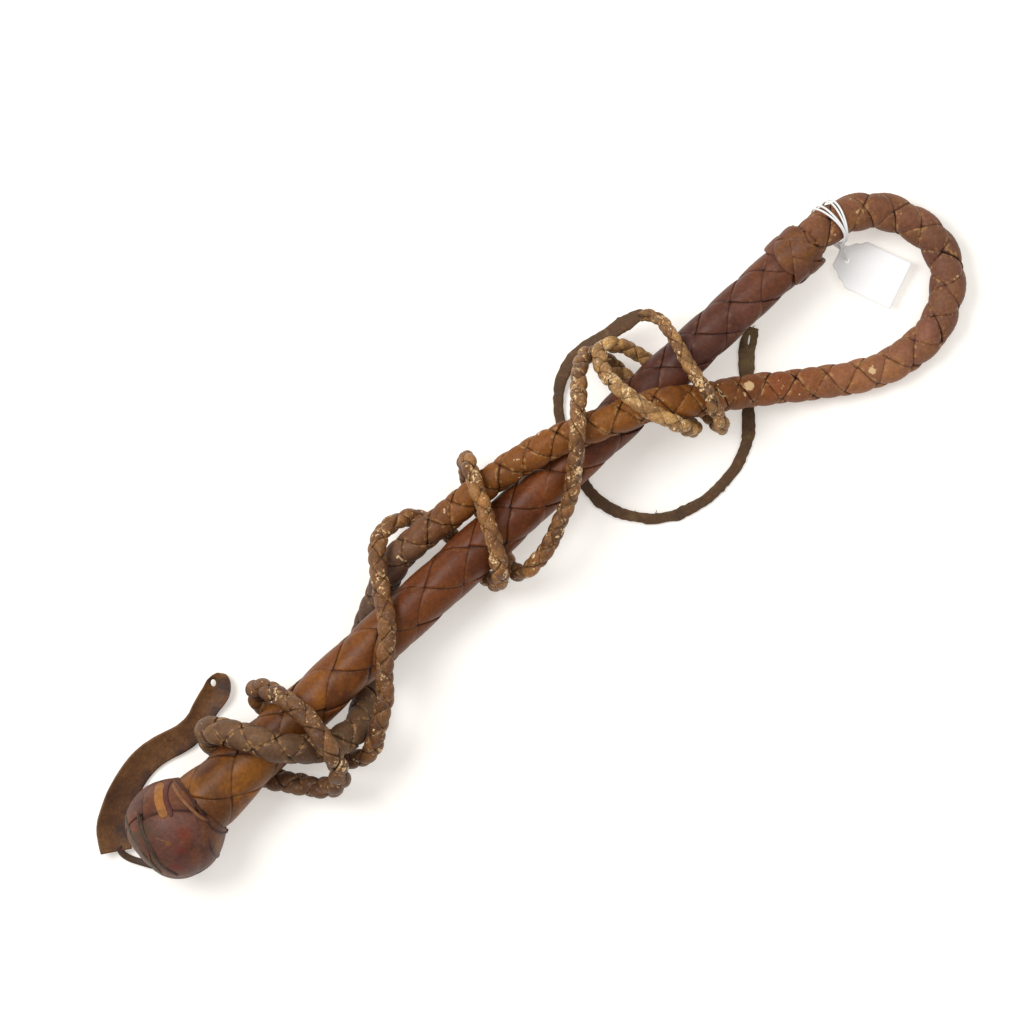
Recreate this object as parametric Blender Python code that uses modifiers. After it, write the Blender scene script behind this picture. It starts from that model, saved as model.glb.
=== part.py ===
"""A coiled plaited leather stock whip: knob, rigid plaited handle, tapering thong, fall and wrist strap.

Frame: the origin is the centre of the knob's flat end face. +X runs up the handle to the ring knot,
+Y is the side the upper strand of the coil lies on, and +Z is up, away from the table.
The script works in millimetres and turns them into metres when a point is made.
"""

import math

import bmesh
import bpy
from mathutils import Matrix, Vector

MM = 0.001

# Driving dimensions, in millimetres.
GAP = 0.4                  # clearance between neighbouring pieces
KNOB_LENGTH = 48.0
KNOB_RADIUS = 26.2
KNOB_FACE_RADIUS = 9.0     # flat at the very end of the knob
NECK_RADIUS = 18.0         # where the knob's cover meets the handle's plait
KNOB_MIDDLE = 22.0         # where the knob is widest
KNOB_RINGS = 8
KNOB_WALL = 2.2
PLUG_EASE = 0.9            # extra clearance of the plug where its outline bends differently
PLUG_SHIFT = 0.3
ROD_RADIUS = 5.0
ROD_START = 12.0
ROD_LENGTH = 436.0
HANDLE_END = 447.0         # where the handle's plait runs in under the ring knot
RING_START = 448.0
RING_LENGTH = 19.0
RING_RADIUS = 11.5
RING_STRAND_RADIUS = 1.15
RING_LIFT = 1.35
RING_BIGHTS = 5
STRAND_THICKNESS = 1.0
STRAND_COVER = 0.72        # share of a plait cell that one strand fills
PLAIT_GAP = 0.45
PLAIT_STEP = math.radians(60.0)   # turn from one crossing to the next in a six strand plait
THONG_WALL = 2.0
SPLIT_GAP = 1.6            # cut between two spans of the thong, under the handle
FALL_THICKNESS = 1.6
STRAP_THICKNESS = 2.0
CARD_THICKNESS = 0.5
CARD_LENGTH = 37.0
CARD_WIDTH = 27.0

# Looks: base colour, roughness, metallic.
HANDLE_LOOK = ((0.30, 0.12, 0.055), 0.32, 0.0)
KNOB_LOOK = ((0.20, 0.09, 0.06), 0.35, 0.0)
THONG_LOOK = ((0.20, 0.085, 0.045), 0.5, 0.0)
THIN_LOOK = ((0.33, 0.20, 0.085), 0.55, 0.0)
STRAP_LOOK = ((0.13, 0.08, 0.04), 0.6, 0.0)
BELLY_LOOK = ((0.36, 0.24, 0.13), 0.7, 0.0)
PLUG_LOOK = ((0.40, 0.26, 0.14), 0.6, 0.0)
ROD_LOOK = ((0.52, 0.40, 0.22), 0.55, 0.0)
PAPER_LOOK = ((0.88, 0.88, 0.86), 0.8, 0.0)

# Outer radius of the handle's plait along its length: (x, radius).
HANDLE_PROFILE = [(47, 17.6), (58, 16.6), (75, 15.2), (105, 14.0), (150, 13.4), (210, 13.3),
                  (300, 12.6), (380, 12.0), (450, 11.8)]

# The thong's lay, span by span: (x, y, z, radius) of points on its centre line.
LOOP_LAY = [(472, 1, 0, 6.5), (476, 0.8, -0.5, 10.5), (494, -3.0, -7, 10.4), (507.5, -11.2, -14, 10.3),
            (516.2, -24.5, -18.5, 10.1), (520.5, -45, -20.9, 10.0), (510.3, -65.5, -21.0, 9.9),
            (487.5, -78, -21.1, 9.8), (461, -76.5, -21.3, 9.6), (443, -69, -21.5, 9.4),
            (425, -57, -19.5, 9.3), (404, -42, -14, 9.2), (393, -34.3, -8.5, 9.2), (390.5, -32.5, -7, 5.5)]
UPPER_LAY = [(386, -29.5, -4, 5.5), (383.5, -28, -2, 9.1), (373, -22, 8, 9.1), (365, -16, 15, 9.0),
             (357, -10, 19.7, 9.0), (344, -3, 22, 9.0), (331, 2, 22.2, 8.8), (312, 10, 19.9, 8.7),
             (299, 14.3, 17.2, 8.7), (286, 17.6, 13.8, 8.7), (261, 21.6, 4.4, 8.6), (236, 23, -3, 8.6),
             (211, 25, -8, 8.6), (200, 24, -10.5, 8.6), (188, 20, -13.5, 8.5), (176, 14, -18.5, 8.5),
             (164, 8, -21.6, 8.4), (154, -1, -22.4, 8.4)]
TURN_LAY = [(154, -1, -22.4, 8.4), (144, -14, -19.5, 8.4), (133, -23, -9.5, 8.4), (126, -26, -1, 8.4),
            (119, -25, 5.5, 8.4), (109, -21, 11.8, 8.4), (101, -15, 18, 8.3), (91, -4, 23.2, 8.2),
            (84, 9, 22, 8.0), (75, 21, 12.2, 7.8), (70, 26, 0, 7.6), (67, 23.5, -11, 7.4),
            (65.5, 15, -20.7, 7.2), (66, 4, -23.6, 7.0)]
LOW_BIGHT_LAY = [(66, 4, -23.6, 7.0), (70, -6, -23.2, 6.9), (76, -16, -20, 6.8), (82, -24, -15.5, 6.6),
                 (90, -34, -10, 6.5), (98, -40.2, 0, 6.4), (105, -38.2, 13, 6.3), (110, -28.5, 25.4, 6.2),
                 (112.5, -17, 30, 6.2), (113.5, -5, 27, 6.1), (112, 6, 21.5, 6.0), (109.5, 15, 14.5, 6.0),
                 (105.5, 22.5, 4, 5.9), (101.5, 24.5, -6, 5.9), (98, 18, -14.5, 5.8), (97.5, 6, -20.3, 5.8)]
LONG_BIGHT_LAY = [(97.5, 6, -20.3, 5.8), (100.5, -8, -20, 5.8), (105, -22, -17.5, 5.7),
                  (110.5, -33.5, -12.5, 5.7), (117.5, -40, -5, 5.6), (126, -41, 3, 5.6),
                  (138.5, -32.5, 10.5, 5.6), (149, -24, 14, 5.5), (158, -14, 17, 5.5), (171, -2, 20, 5.5),
                  (179, 7.5, 19, 5.5), (185, 18, 14, 5.4), (192, 28, 7.5, 5.4), (199, 36.5, 1, 5.4),
                  (206, 40, -6, 5.4), (213, 39.5, -12.5, 5.3), (220, 36.5, -17.5, 5.3), (226, 30, -20.8, 5.3),
                  (229.5, 20, -21.6, 5.3), (230, 8, -21, 5.3)]
WRAP_ONE_LAY = [(230, 8, -21, 5.3), (229, -6, -20.4, 5.3), (229.3, -15.5, -15, 5.2), (232, -20.3, -4.5, 5.2),
                (235, -18.5, 7, 5.2), (239, -13, 15.3, 5.2), (245, -3, 19.6, 5.1), (249.5, 7, 19.4, 5.1),
                (254, 16, 18.8, 5.1), (258, 25.8, 17.6, 5.1), (262, 33.8, 12.4, 5.1), (263.5, 37.8, 3, 5.1),
                (262, 37.5, -6.5, 5.1), (258.5, 33, -14.5, 5.1), (254, 24, -19.5, 5.0),
                (250.5, 13, -20.5, 5.0)]
WRAP_TWO_LAY = [(250.5, 13, -20.5, 5.0), (247, 0, -20, 5.0), (243.5, -13, -16.5, 5.0),
                (242.3, -21.5, -7.5, 5.0),
                (246, -25.5, 1, 5.0), (254, -25.5, 7, 5.0), (263, -24, 10, 5.0), (271, -21, 12, 5.0),
                (279, -17.5, 14, 5.0), (287, -14, 16.5, 5.0), (294, -9, 21, 5.0), (300, -4, 26.5, 5.0),
                (306, 1, 31.3, 5.0), (312, 7, 34.3, 5.0), (318, 13, 34, 5.0), (324, 19, 29.5, 5.0),
                (331, 26, 20.5, 5.0), (337.5, 32, 10.5, 5.0), (343, 35.5, 0, 4.9), (348.5, 34, -9, 4.9),
                (351.5, 27, -15.5, 4.9), (353.5, 16, -19, 4.9)]
WRAP_THREE_LAY = [(353.5, 16, -19, 4.9), (355, 4, -18.6, 4.8), (357, -8, -18.3, 4.8), (359.5, -20, -15, 4.8),
                  (361, -28, -7, 4.8), (360.5, -30.3, 3, 4.8), (358, -28.5, 14, 4.8), (355.5, -24, 25, 4.8),
                  (352, -16.5, 32.3, 4.8), (348.5, -8, 36, 4.8), (346.5, 2, 36, 4.8), (345, 12, 30, 4.7),
                  (345.5, 21.5, 19, 4.7), (348.5, 29, 9, 4.7), (353.5, 32.5, 3, 4.7), (358.5, 31, -1.5, 4.7),
                  (363, 25.5, -8, 4.6), (366.5, 16, -14.8, 4.6), (369, 5, -18, 4.6)]
WRAP_FOUR_LAY = [(369, 5, -18, 4.6), (370.5, -8, -18, 4.5), (371, -22, -15, 4.5), (371, -33, -9, 4.5),
                 (371, -39.5, 1, 4.5), (372.5, -38, 11.5, 4.4), (374.5, -31, 20, 4.4),
                 (376.5, -23, 24.5, 4.4),
                 (378, -14, 23.5, 4.3), (380, -5, 20, 4.2), (382.5, 5, 17.5, 4.1), (384.8, 14.5, 12, 4.0),
                 (385.5, 22, 6.5, 3.9), (384, 26.5, 3.5, 3.8)]

# The fall and the wrist strap: (x, y, z, width, roll in degrees), roll 0 lying flat.
FALL_ROOT_LAY = [(379.5, 32.5, 0, 6, 10), (372, 34.5, -6, 7.5, 15), (362, 36.5, -13, 7, 15),
                 (350, 39, -20, 6.5, 15), (338, 38.7, -24.5, 6, 12), (327, 34.5, -27.5, 5.5, 10),
                 (318.5, 27, -29, 5, 5), (312, 18, -29.6, 5, 0), (306.5, 8, -29.6, 5, 0),
                 (302, -5, -29.6, 5, 0)]
FALL_MIDDLE_LAY = [(300.5, -8.5, -29.6, 5, 0), (299.5, -17, -29.3, 5, 5), (300.5, -29, -28.9, 5, 12),
                   (305.5, -40.5, -28.8, 5, 18), (313.5, -50.6, -28.8, 5, 20), (325, -58.2, -28.8, 5, 20),
                   (339, -62, -28.8, 5, 20), (355, -62.3, -28.9, 5, 18), (366.5, -60, -29.0, 5.5, 14)]
FALL_END_LAY = [(370, -58.6, -29.6, 5.5, 0), (378, -54.7, -29.6, 6, 0), (386, -47, -29.6, 6.4, 0),
                (394, -38, -29.6, 6.8, 0), (402, -28, -29.6, 7.5, 0), (410, -20, -29.6, 8.4, 0),
                (416.5, -15.2, -29.6, 8.2, 0), (420.5, -12.6, -29.6, 7.5, 0)]
STRAP_LAY = [(-11.2, 12.2, -25.5, 16, 10), (-7.2, 18.5, -25.8, 17, 14), (-2.7, 24.1, -26, 17, 18),
             (7.5, 30.6, -26.2, 16.8, 20), (16, 34.2, -26.3, 16.4, 22), (25.7, 36.6, -26.4, 16, 22),
             (34.5, 37.2, -26.6, 15.6, 22), (43, 36, -26.8, 15, 20), (51, 33.5, -27, 14.6, 18),
             (58.3, 32.3, -27.6, 14.2, 12), (66.5, 33.2, -28.2, 13.6, 6), (74.8, 36.2, -28.6, 13.4, 0),
             (82.9, 38, -28.6, 14, 0), (88, 40.2, -28.6, 13, 0), (91.3, 42.2, -28.6, 9, 0),
             (92.8, 43.3, -28.6, 5, 0)]
EYE_AT = (86.2, 42.6)
EYE_RADIUS = 1.7
LACE_LAY = [(9, -13.3, -20.9, 1.6), (5.5, -14.2, -23.2, 1.8), (0.5, -10.5, -26, 1.8), (-4, -3, -27.4, 1.8),
            (-7, 3.5, -27.8, 1.8)]

# The ticket's string round the thong, and the ticket's card.
TICKET_RING_AT = (485.3, -1.1, -3.8)
TICKET_AXIS = (0.93, -0.155, -0.335)
TICKET_RING_RADIUS = 11.9
TICKET_CREEP = 4.0
STRING_RADIUS = 0.55
TICKET_HOLE_AT = (480.6, -21.0, -26.6)
CARD_HEADING = 21.5
CARD_HOLE_INSET = 6.3
CARD_HOLE_RADIUS = 1.1

# Points on the joint axes, also used as object origins.
LOOP_HINGE = (470, 1, 0)
FALL_HINGE = (301.2, -6.8, -29.6)
FALL_END_HINGE = (368.5, -59, -29)
LACE_HINGE = (9, -13.3, -20.9)
STRAP_HINGE = (-7.3, 8.2, -27.4)


def point(x, y, z):
    return Vector((x, y, z)) * MM


def interpolate(table, x):
    """Value at x of a table of (x, value), in a straight line between its rows."""
    for (x0, v0), (x1, v1) in zip(table, table[1:]):
        if x <= x1:
            t = min(max((x - x0) / (x1 - x0), 0.0), 1.0)
            return v0 + (v1 - v0) * t
    return table[-1][1]


def smooth_lay(lay, step):
    """Catmull-Rom curve through the rows of a lay, sampled about every step millimetres."""
    out = []
    count = len(lay)
    for i in range(count - 1):
        before = lay[max(i - 1, 0)]
        start = lay[i]
        end = lay[i + 1]
        after = lay[min(i + 2, count - 1)]
        length = math.dist(start[:3], end[:3])
        pieces = max(1, round(length / step))
        for k in range(pieces):
            t = k / pieces
            out.append(tuple(catmull(before[c], start[c], end[c], after[c], t) for c in range(len(start))))
    out.append(tuple(lay[-1]))
    return out


def catmull(a, b, c, d, t):
    return 0.5 * (2 * b + (c - a) * t + (2 * a - 5 * b + 4 * c - d) * t * t
                  + (3 * b - a - 3 * c + d) * t * t * t)


def trim(lay, start, end):
    """Shorten a lay at its first and last row by start and end millimetres."""
    lay = [list(row) for row in lay]
    for index, neighbour, cut in ((0, 1, start), (-1, -2, end)):
        length = math.dist(lay[index][:3], lay[neighbour][:3])
        for c in range(len(lay[0])):
            lay[index][c] += (lay[neighbour][c] - lay[index][c]) * cut / length
    return lay


def material(name, colour, roughness, metallic=0.0):
    made = bpy.data.materials.new(name)
    made.use_nodes = True
    shader = made.node_tree.nodes["Principled BSDF"]
    shader.inputs["Base Color"].default_value = (*colour, 1.0)
    shader.inputs["Roughness"].default_value = roughness
    shader.inputs["Metallic"].default_value = metallic
    return made


def finish(obj, look, origin=(0, 0, 0)):
    """Give an object its material and put its origin on a joint line without moving its surface."""
    colour, roughness, metallic = look
    obj.data.materials.clear()
    obj.data.materials.append(material(obj.name, colour, roughness, metallic))
    shift = Matrix.Translation(-point(*origin))
    obj.data.transform(shift)
    obj.location = point(*origin)
    for holder in list(obj.users_collection):
        holder.objects.unlink(obj)
    parts.objects.link(obj)
    return obj


def curve_object(name, rows, sides_resolution, caps, cyclic=False):
    """A round poly curve through rows of (x, y, z, radius)."""
    data = bpy.data.curves.new(name, "CURVE")
    data.dimensions = "3D"
    data.bevel_depth = MM
    data.bevel_resolution = sides_resolution
    data.use_fill_caps = caps
    spline = data.splines.new("POLY")
    spline.points.add(len(rows) - 1)
    spline.use_cyclic_u = cyclic
    for target, row in zip(spline.points, rows):
        target.co = (*point(*row[:3]), 1.0)
        target.radius = row[3]
    made = bpy.data.objects.new(name, data)
    parts.objects.link(made)
    return made


def as_mesh(curve):
    """Turn a curve object into a mesh object whose caps are welded on."""
    bpy.context.view_layer.update()
    graph = bpy.context.evaluated_depsgraph_get()
    data = bpy.data.meshes.new_from_object(curve.evaluated_get(graph))
    name = curve.name
    place = curve.matrix_world.copy()
    bpy.data.objects.remove(curve)
    body = bmesh.new()
    body.from_mesh(data)
    bmesh.ops.remove_doubles(body, verts=body.verts, dist=0.00001)
    body.to_mesh(data)
    body.free()
    data.shade_smooth()
    made = bpy.data.objects.new(name, data)
    made.matrix_world = place
    parts.objects.link(made)
    return made


def solidify(obj, thickness):
    shell = obj.modifiers.new("wall", "SOLIDIFY")
    shell.thickness = thickness * MM
    shell.offset = -1.0
    return shell


def solid_tube(name, lay, step, look, origin=(0, 0, 0)):
    made = as_mesh(curve_object(name, smooth_lay(lay, step), 2, True))
    return finish(made, look, origin)


def cover_and_belly(name, lay, step, origin=(0, 0, 0)):
    """A hollow plaited cover with its separate inner belly strand."""
    rows = smooth_lay(lay, step)
    cover = as_mesh(curve_object(name + "_cover", rows, 2, False))
    solidify(cover, THONG_WALL)
    finish(cover, THONG_LOOK, origin)
    inner = [(x, y, z, radius * 0.93 - THONG_WALL - GAP - 0.4) for x, y, z, radius in rows[2:-2]]
    belly = as_mesh(curve_object(name + "_belly", inner, 1, True))
    finish(belly, BELLY_LOOK, origin)


def strip(name, rows, across, thickness, look, origin=(0, 0, 0)):
    """A flat leather strip through rows of (x, y, z, width, roll)."""
    grid = bmesh.new()
    bmesh.ops.create_grid(grid, x_segments=len(rows) - 1, y_segments=across, size=1.0)
    for vert in grid.verts:
        along = round((vert.co.x + 1) / 2 * (len(rows) - 1))
        side = vert.co.y / 2
        x, y, z, width, roll = rows[along]
        ahead = Vector(rows[min(along + 1, len(rows) - 1)][:3])
        behind = Vector(rows[max(along - 1, 0)][:3])
        heading = (ahead - behind).normalized()
        level = Vector((-heading.y, heading.x, 0)).normalized()
        lift = heading.cross(level)
        turn = math.radians(roll)
        outward = level * math.cos(turn) + lift * math.sin(turn)
        vert.co = (Vector((x, y, z)) + outward * width * side) * MM
    data = bpy.data.meshes.new(name)
    grid.to_mesh(data)
    grid.free()
    made = bpy.data.objects.new(name, data)
    parts.objects.link(made)
    wall = solidify(made, thickness)
    wall.offset = 0.0
    return finish(made, look, origin)


def turned(name, profile, steps, look, closed):
    """A turned piece: a profile of (x, radius) spun round the handle's axis."""
    data = bpy.data.meshes.new(name)
    outline = [point(x, radius, 0) for x, radius in profile]
    links = [(i, i + 1) for i in range(len(outline) - 1)]
    if closed:
        links.append((len(outline) - 1, 0))
    data.from_pydata(outline, links, [])
    made = bpy.data.objects.new(name, data)
    parts.objects.link(made)
    spin = made.modifiers.new("turn", "SCREW")
    spin.axis = "X"
    spin.steps = steps
    spin.render_steps = steps
    spin.use_merge_vertices = True
    spin.merge_threshold = 0.00001
    spin.use_normal_flip = True
    return finish(made, look)


def turn_table():
    """Rows of (turn, x) along the handle, to look a place up from a turn."""
    rows = []
    total = 0.0
    x = float(HANDLE_PROFILE[0][0])
    while x <= RING_START:
        rows.append((total, x))
        total += 1.0 / interpolate(HANDLE_PROFILE, x)
        x += 1.0
    return rows


def plait_stations(turns):
    """Turns at which a strand bends: the two edges and the middle of each crossing."""
    first, last = turn_span(turns)
    half = PLAIT_STEP / 2 * STRAND_COVER
    stations = []
    for crossing in range(int(last / PLAIT_STEP) + 2):
        over = crossing % 2 == 0
        for shift in (-half, 0.0, half):
            turn = crossing * PLAIT_STEP + shift
            if first <= turn <= last:
                stations.append((turn, over))
    return stations


def turn_span(turns):
    half = PLAIT_STEP / 2 * STRAND_COVER
    start = interpolate([(x, turn) for turn, x in turns], KNOB_LENGTH + 2.5) + half
    end = interpolate([(x, turn) for turn, x in turns], HANDLE_END) - half
    return start, end


def handle_strand(name, direction, index, turns):
    """One strand of the handle's plait: over one, under one, round the belly at 45 degrees."""
    stations = plait_stations(turns)
    half = PLAIT_STEP / 2 * STRAND_COVER
    grid = bmesh.new()
    bmesh.ops.create_grid(grid, x_segments=len(stations) - 1, y_segments=2, size=1.0)
    for vert in grid.verts:
        along = round((vert.co.x + 1) / 2 * (len(stations) - 1))
        turn, over = stations[along]
        if direction < 0:
            over = not over
        shift = vert.co.y * half
        x = interpolate(turns, turn + shift)
        angle = direction * (turn - shift) + index * math.tau / 3
        radius = interpolate(HANDLE_PROFILE, x)
        if not over:
            radius -= STRAND_THICKNESS + PLAIT_GAP
        vert.co = point(x, radius * math.cos(angle), radius * math.sin(angle))
    if direction < 0:
        bmesh.ops.reverse_faces(grid, faces=grid.faces)
    data = bpy.data.meshes.new(name)
    grid.to_mesh(data)
    grid.free()
    made = bpy.data.objects.new(name, data)
    parts.objects.link(made)
    solidify(made, STRAND_THICKNESS)
    return finish(made, HANDLE_LOOK)


def handle_plait():
    turns = turn_table()
    number = 1
    for direction in (1, -1):
        for index in range(3):
            handle_strand(f"handle_strand_{number}", direction, index, turns)
            number += 1


def handle_rod():
    bpy.ops.mesh.primitive_cylinder_add(vertices=20, radius=ROD_RADIUS * MM, depth=ROD_LENGTH * MM)
    rod = bpy.context.object
    rod.name = "handle_rod"
    rod.data.transform(Matrix.Rotation(math.pi / 2, 4, "Y"))
    rod.data.transform(Matrix.Translation(point(ROD_START + ROD_LENGTH / 2, 0, 0)))
    finish(rod, ROD_LOOK)


def handle_belly():
    depth = 2 * STRAND_THICKNESS + PLAIT_GAP + GAP + 0.2
    stations = [50.5, 60, 75, 105, 150, 210, 300, 380, 444]
    outer = [(x, interpolate(HANDLE_PROFILE, x) - depth) for x in stations]
    outer += [(446.5, RING_RADIUS - RING_LIFT - RING_STRAND_RADIUS - GAP)]
    outer += [(RING_START + RING_LENGTH - 0.5, RING_RADIUS - RING_LIFT - RING_STRAND_RADIUS - GAP)]
    bore = ROD_RADIUS + GAP
    inner = [(RING_START + RING_LENGTH - 0.5, bore), (stations[0], bore)]
    turned("handle_belly", outer + inner, 20, BELLY_LOOK, True)


def knob_outline(inset, face_radius):
    """Half outline of the knob, from the rim of its end face to its neck."""
    rows = [(inset, face_radius)]
    for k in range(KNOB_RINGS):
        angle = math.radians(150 - k * 102 / (KNOB_RINGS - 1))
        x = KNOB_MIDDLE + (KNOB_MIDDLE - inset) * math.cos(angle) * 1.04
        rows.append((x, (KNOB_RADIUS - inset) * math.sin(angle) ** 0.85))
    rows.append((KNOB_MIDDLE * 2 - 1, 18.0 - inset))
    return rows


def knob_cover():
    neck = KNOB_LENGTH + 1.5
    outer = knob_outline(0.0, KNOB_FACE_RADIUS)
    outer.append((neck, NECK_RADIUS))
    inner = knob_outline(KNOB_WALL, KNOB_FACE_RADIUS - 1.0)
    inner.append((neck, NECK_RADIUS - 1.6))
    profile = [(0.0, 0.0)] + outer + list(reversed(inner)) + [(KNOB_WALL, 0.0)]
    turned("knob_cover", profile, 28, KNOB_LOOK, False)


def knob_plug():
    outer = knob_outline(KNOB_WALL + GAP + 0.3, KNOB_FACE_RADIUS - 2.0)
    outer = [(x + PLUG_SHIFT, radius - PLUG_EASE) for x, radius in outer]
    outer.append((KNOB_LENGTH - 1.0, 13.6))
    bore = ROD_RADIUS + GAP
    outer = [(outer[0][0], bore)] + outer
    profile = outer + [(KNOB_LENGTH - 1.0, bore)]
    turned("knob_plug", profile, 20, PLUG_LOOK, True)


def ring_knot():
    """A three lead Turk's head: one strand laid three times round, over and under itself."""
    rows = []
    count = 78
    half = RING_LENGTH / 2 - RING_STRAND_RADIUS - 0.5
    middle = RING_START + RING_LENGTH / 2
    for k in range(count):
        angle = 3 * math.tau * k / count
        sway = RING_BIGHTS * angle / 3
        radius = RING_RADIUS + RING_LIFT * math.sin(2 * sway)
        rows.append((middle + half * math.sin(sway), radius * math.cos(angle), radius * math.sin(angle),
                     RING_STRAND_RADIUS))
    made = as_mesh(curve_object("ring_knot", rows, 1, False, cyclic=True))
    finish(made, HANDLE_LOOK)


def thong():
    cover_and_belly("thong_loop", LOOP_LAY, 11, LOOP_HINGE)
    cover_and_belly("thong_upper", trim(UPPER_LAY, 0, SPLIT_GAP), 11)
    cover_and_belly("thong_turn", trim(TURN_LAY, SPLIT_GAP, SPLIT_GAP), 8)
    for name, lay, cut in (("thong_low_bight", LOW_BIGHT_LAY, SPLIT_GAP),
                           ("thong_long_bight", LONG_BIGHT_LAY, SPLIT_GAP),
                           ("thong_wrap_one", WRAP_ONE_LAY, SPLIT_GAP),
                           ("thong_wrap_two", WRAP_TWO_LAY, SPLIT_GAP),
                           ("thong_wrap_three", WRAP_THREE_LAY, SPLIT_GAP),
                           ("thong_wrap_four", WRAP_FOUR_LAY, 0)):
        solid_tube(name, trim(lay, SPLIT_GAP, cut), 9, THIN_LOOK)


def fall():
    strip("fall_root", smooth_lay(FALL_ROOT_LAY, 12), 1, FALL_THICKNESS, STRAP_LOOK)
    strip("fall_middle", smooth_lay(FALL_MIDDLE_LAY, 12), 1, FALL_THICKNESS, STRAP_LOOK, FALL_HINGE)
    strip("fall_end", smooth_lay(FALL_END_LAY, 12), 1, FALL_THICKNESS, STRAP_LOOK, FALL_END_HINGE)


def wrist_strap():
    strap = strip("wrist_strap", smooth_lay(STRAP_LAY, 9), 2, STRAP_THICKNESS, STRAP_LOOK, STRAP_HINGE)
    bpy.ops.mesh.primitive_cylinder_add(vertices=12, radius=EYE_RADIUS * MM, depth=12 * MM,
                                        location=point(*EYE_AT, -28.5))
    cutter = bpy.context.object
    cutter.name = "strap_eye_cutter"
    cutter.hide_render = True
    cutter.display_type = "WIRE"
    for holder in list(cutter.users_collection):
        holder.objects.unlink(cutter)
    cutters.objects.link(cutter)
    eye = strap.modifiers.new("eye", "BOOLEAN")
    eye.operation = "DIFFERENCE"
    eye.object = cutter
    solid_tube("wrist_lace", LACE_LAY, 6, STRAP_LOOK, LACE_HINGE)


def ticket():
    """A strung ticket: a turn of string round the thong, a tail through the card, and its knot below."""
    heading = Vector(TICKET_AXIS)
    side = heading.cross(Vector((0, 0, 1))).normalized()
    up = side.cross(heading)
    rows = []
    turns = 14
    for k in range(turns + 1):
        angle = math.radians(20 + 315 * k / turns)
        creep = heading * (TICKET_CREEP * (k / turns - 0.5))
        spot = Vector(TICKET_RING_AT) + creep
        spot += side * TICKET_RING_RADIUS * math.cos(angle) + up * TICKET_RING_RADIUS * math.sin(angle)
        rows.append((*spot, STRING_RADIUS))
    hole = Vector(TICKET_HOLE_AT)
    rows.append((*hole.lerp(Vector(rows[-1][:3]), 0.5), STRING_RADIUS))
    for height, radius in ((3.0, STRING_RADIUS), (0.0, STRING_RADIUS), (-1.2, STRING_RADIUS),
                           (-1.6, 1.1), (-2.2, 1.3), (-2.9, 1.0), (-3.3, 0.4)):
        rows.append((hole.x, hole.y, hole.z + height, radius))
    string = as_mesh(curve_object("ticket_string", rows, 1, True))
    finish(string, PAPER_LOOK, TICKET_RING_AT)
    card()


def card():
    half_length = CARD_LENGTH / 2
    half_width = CARD_WIDTH / 2
    clip = 6.0
    outline = [(-half_width, -half_length), (half_width, -half_length), (half_width, half_length - clip),
               (half_width - clip, half_length), (-half_width + clip, half_length),
               (-half_width, half_length - clip)]
    data = bpy.data.curves.new("ticket_card", "CURVE")
    data.dimensions = "2D"
    data.fill_mode = "BOTH"
    data.extrude = CARD_THICKNESS / 2 * MM
    add_outline(data, outline)
    reach = half_length - CARD_HOLE_INSET
    hole = []
    for k in range(10):
        angle = math.tau * k / 10
        hole.append((CARD_HOLE_RADIUS * math.cos(angle), reach + CARD_HOLE_RADIUS * math.sin(angle)))
    add_outline(data, hole)
    made = bpy.data.objects.new("ticket_card", data)
    parts.objects.link(made)
    flat = as_mesh(made)
    flat.data.transform(Matrix.Translation(point(0, -reach, 0)))
    flat.data.transform(Matrix.Rotation(math.radians(CARD_HEADING), 4, "Z"))
    flat.data.transform(Matrix.Translation(point(*TICKET_HOLE_AT)))
    finish(flat, PAPER_LOOK, TICKET_HOLE_AT)


def add_outline(data, outline):
    spline = data.splines.new("POLY")
    spline.points.add(len(outline) - 1)
    spline.use_cyclic_u = True
    for target, (x, y) in zip(spline.points, outline):
        target.co = (x * MM, y * MM, 0.0, 1.0)


for old in list(bpy.data.objects):
    bpy.data.objects.remove(old)
parts = bpy.data.collections.new("stock_whip")
cutters = bpy.data.collections.new("cutters")
bpy.context.scene.collection.children.link(parts)
bpy.context.scene.collection.children.link(cutters)

handle_rod()
handle_belly()
handle_plait()
knob_plug()
knob_cover()
ring_knot()
thong()
fall()
wrist_strap()
ticket()
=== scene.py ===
"""Looks of the coiled stock whip: plaited leather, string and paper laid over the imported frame."""

import math
from dataclasses import dataclass

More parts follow.
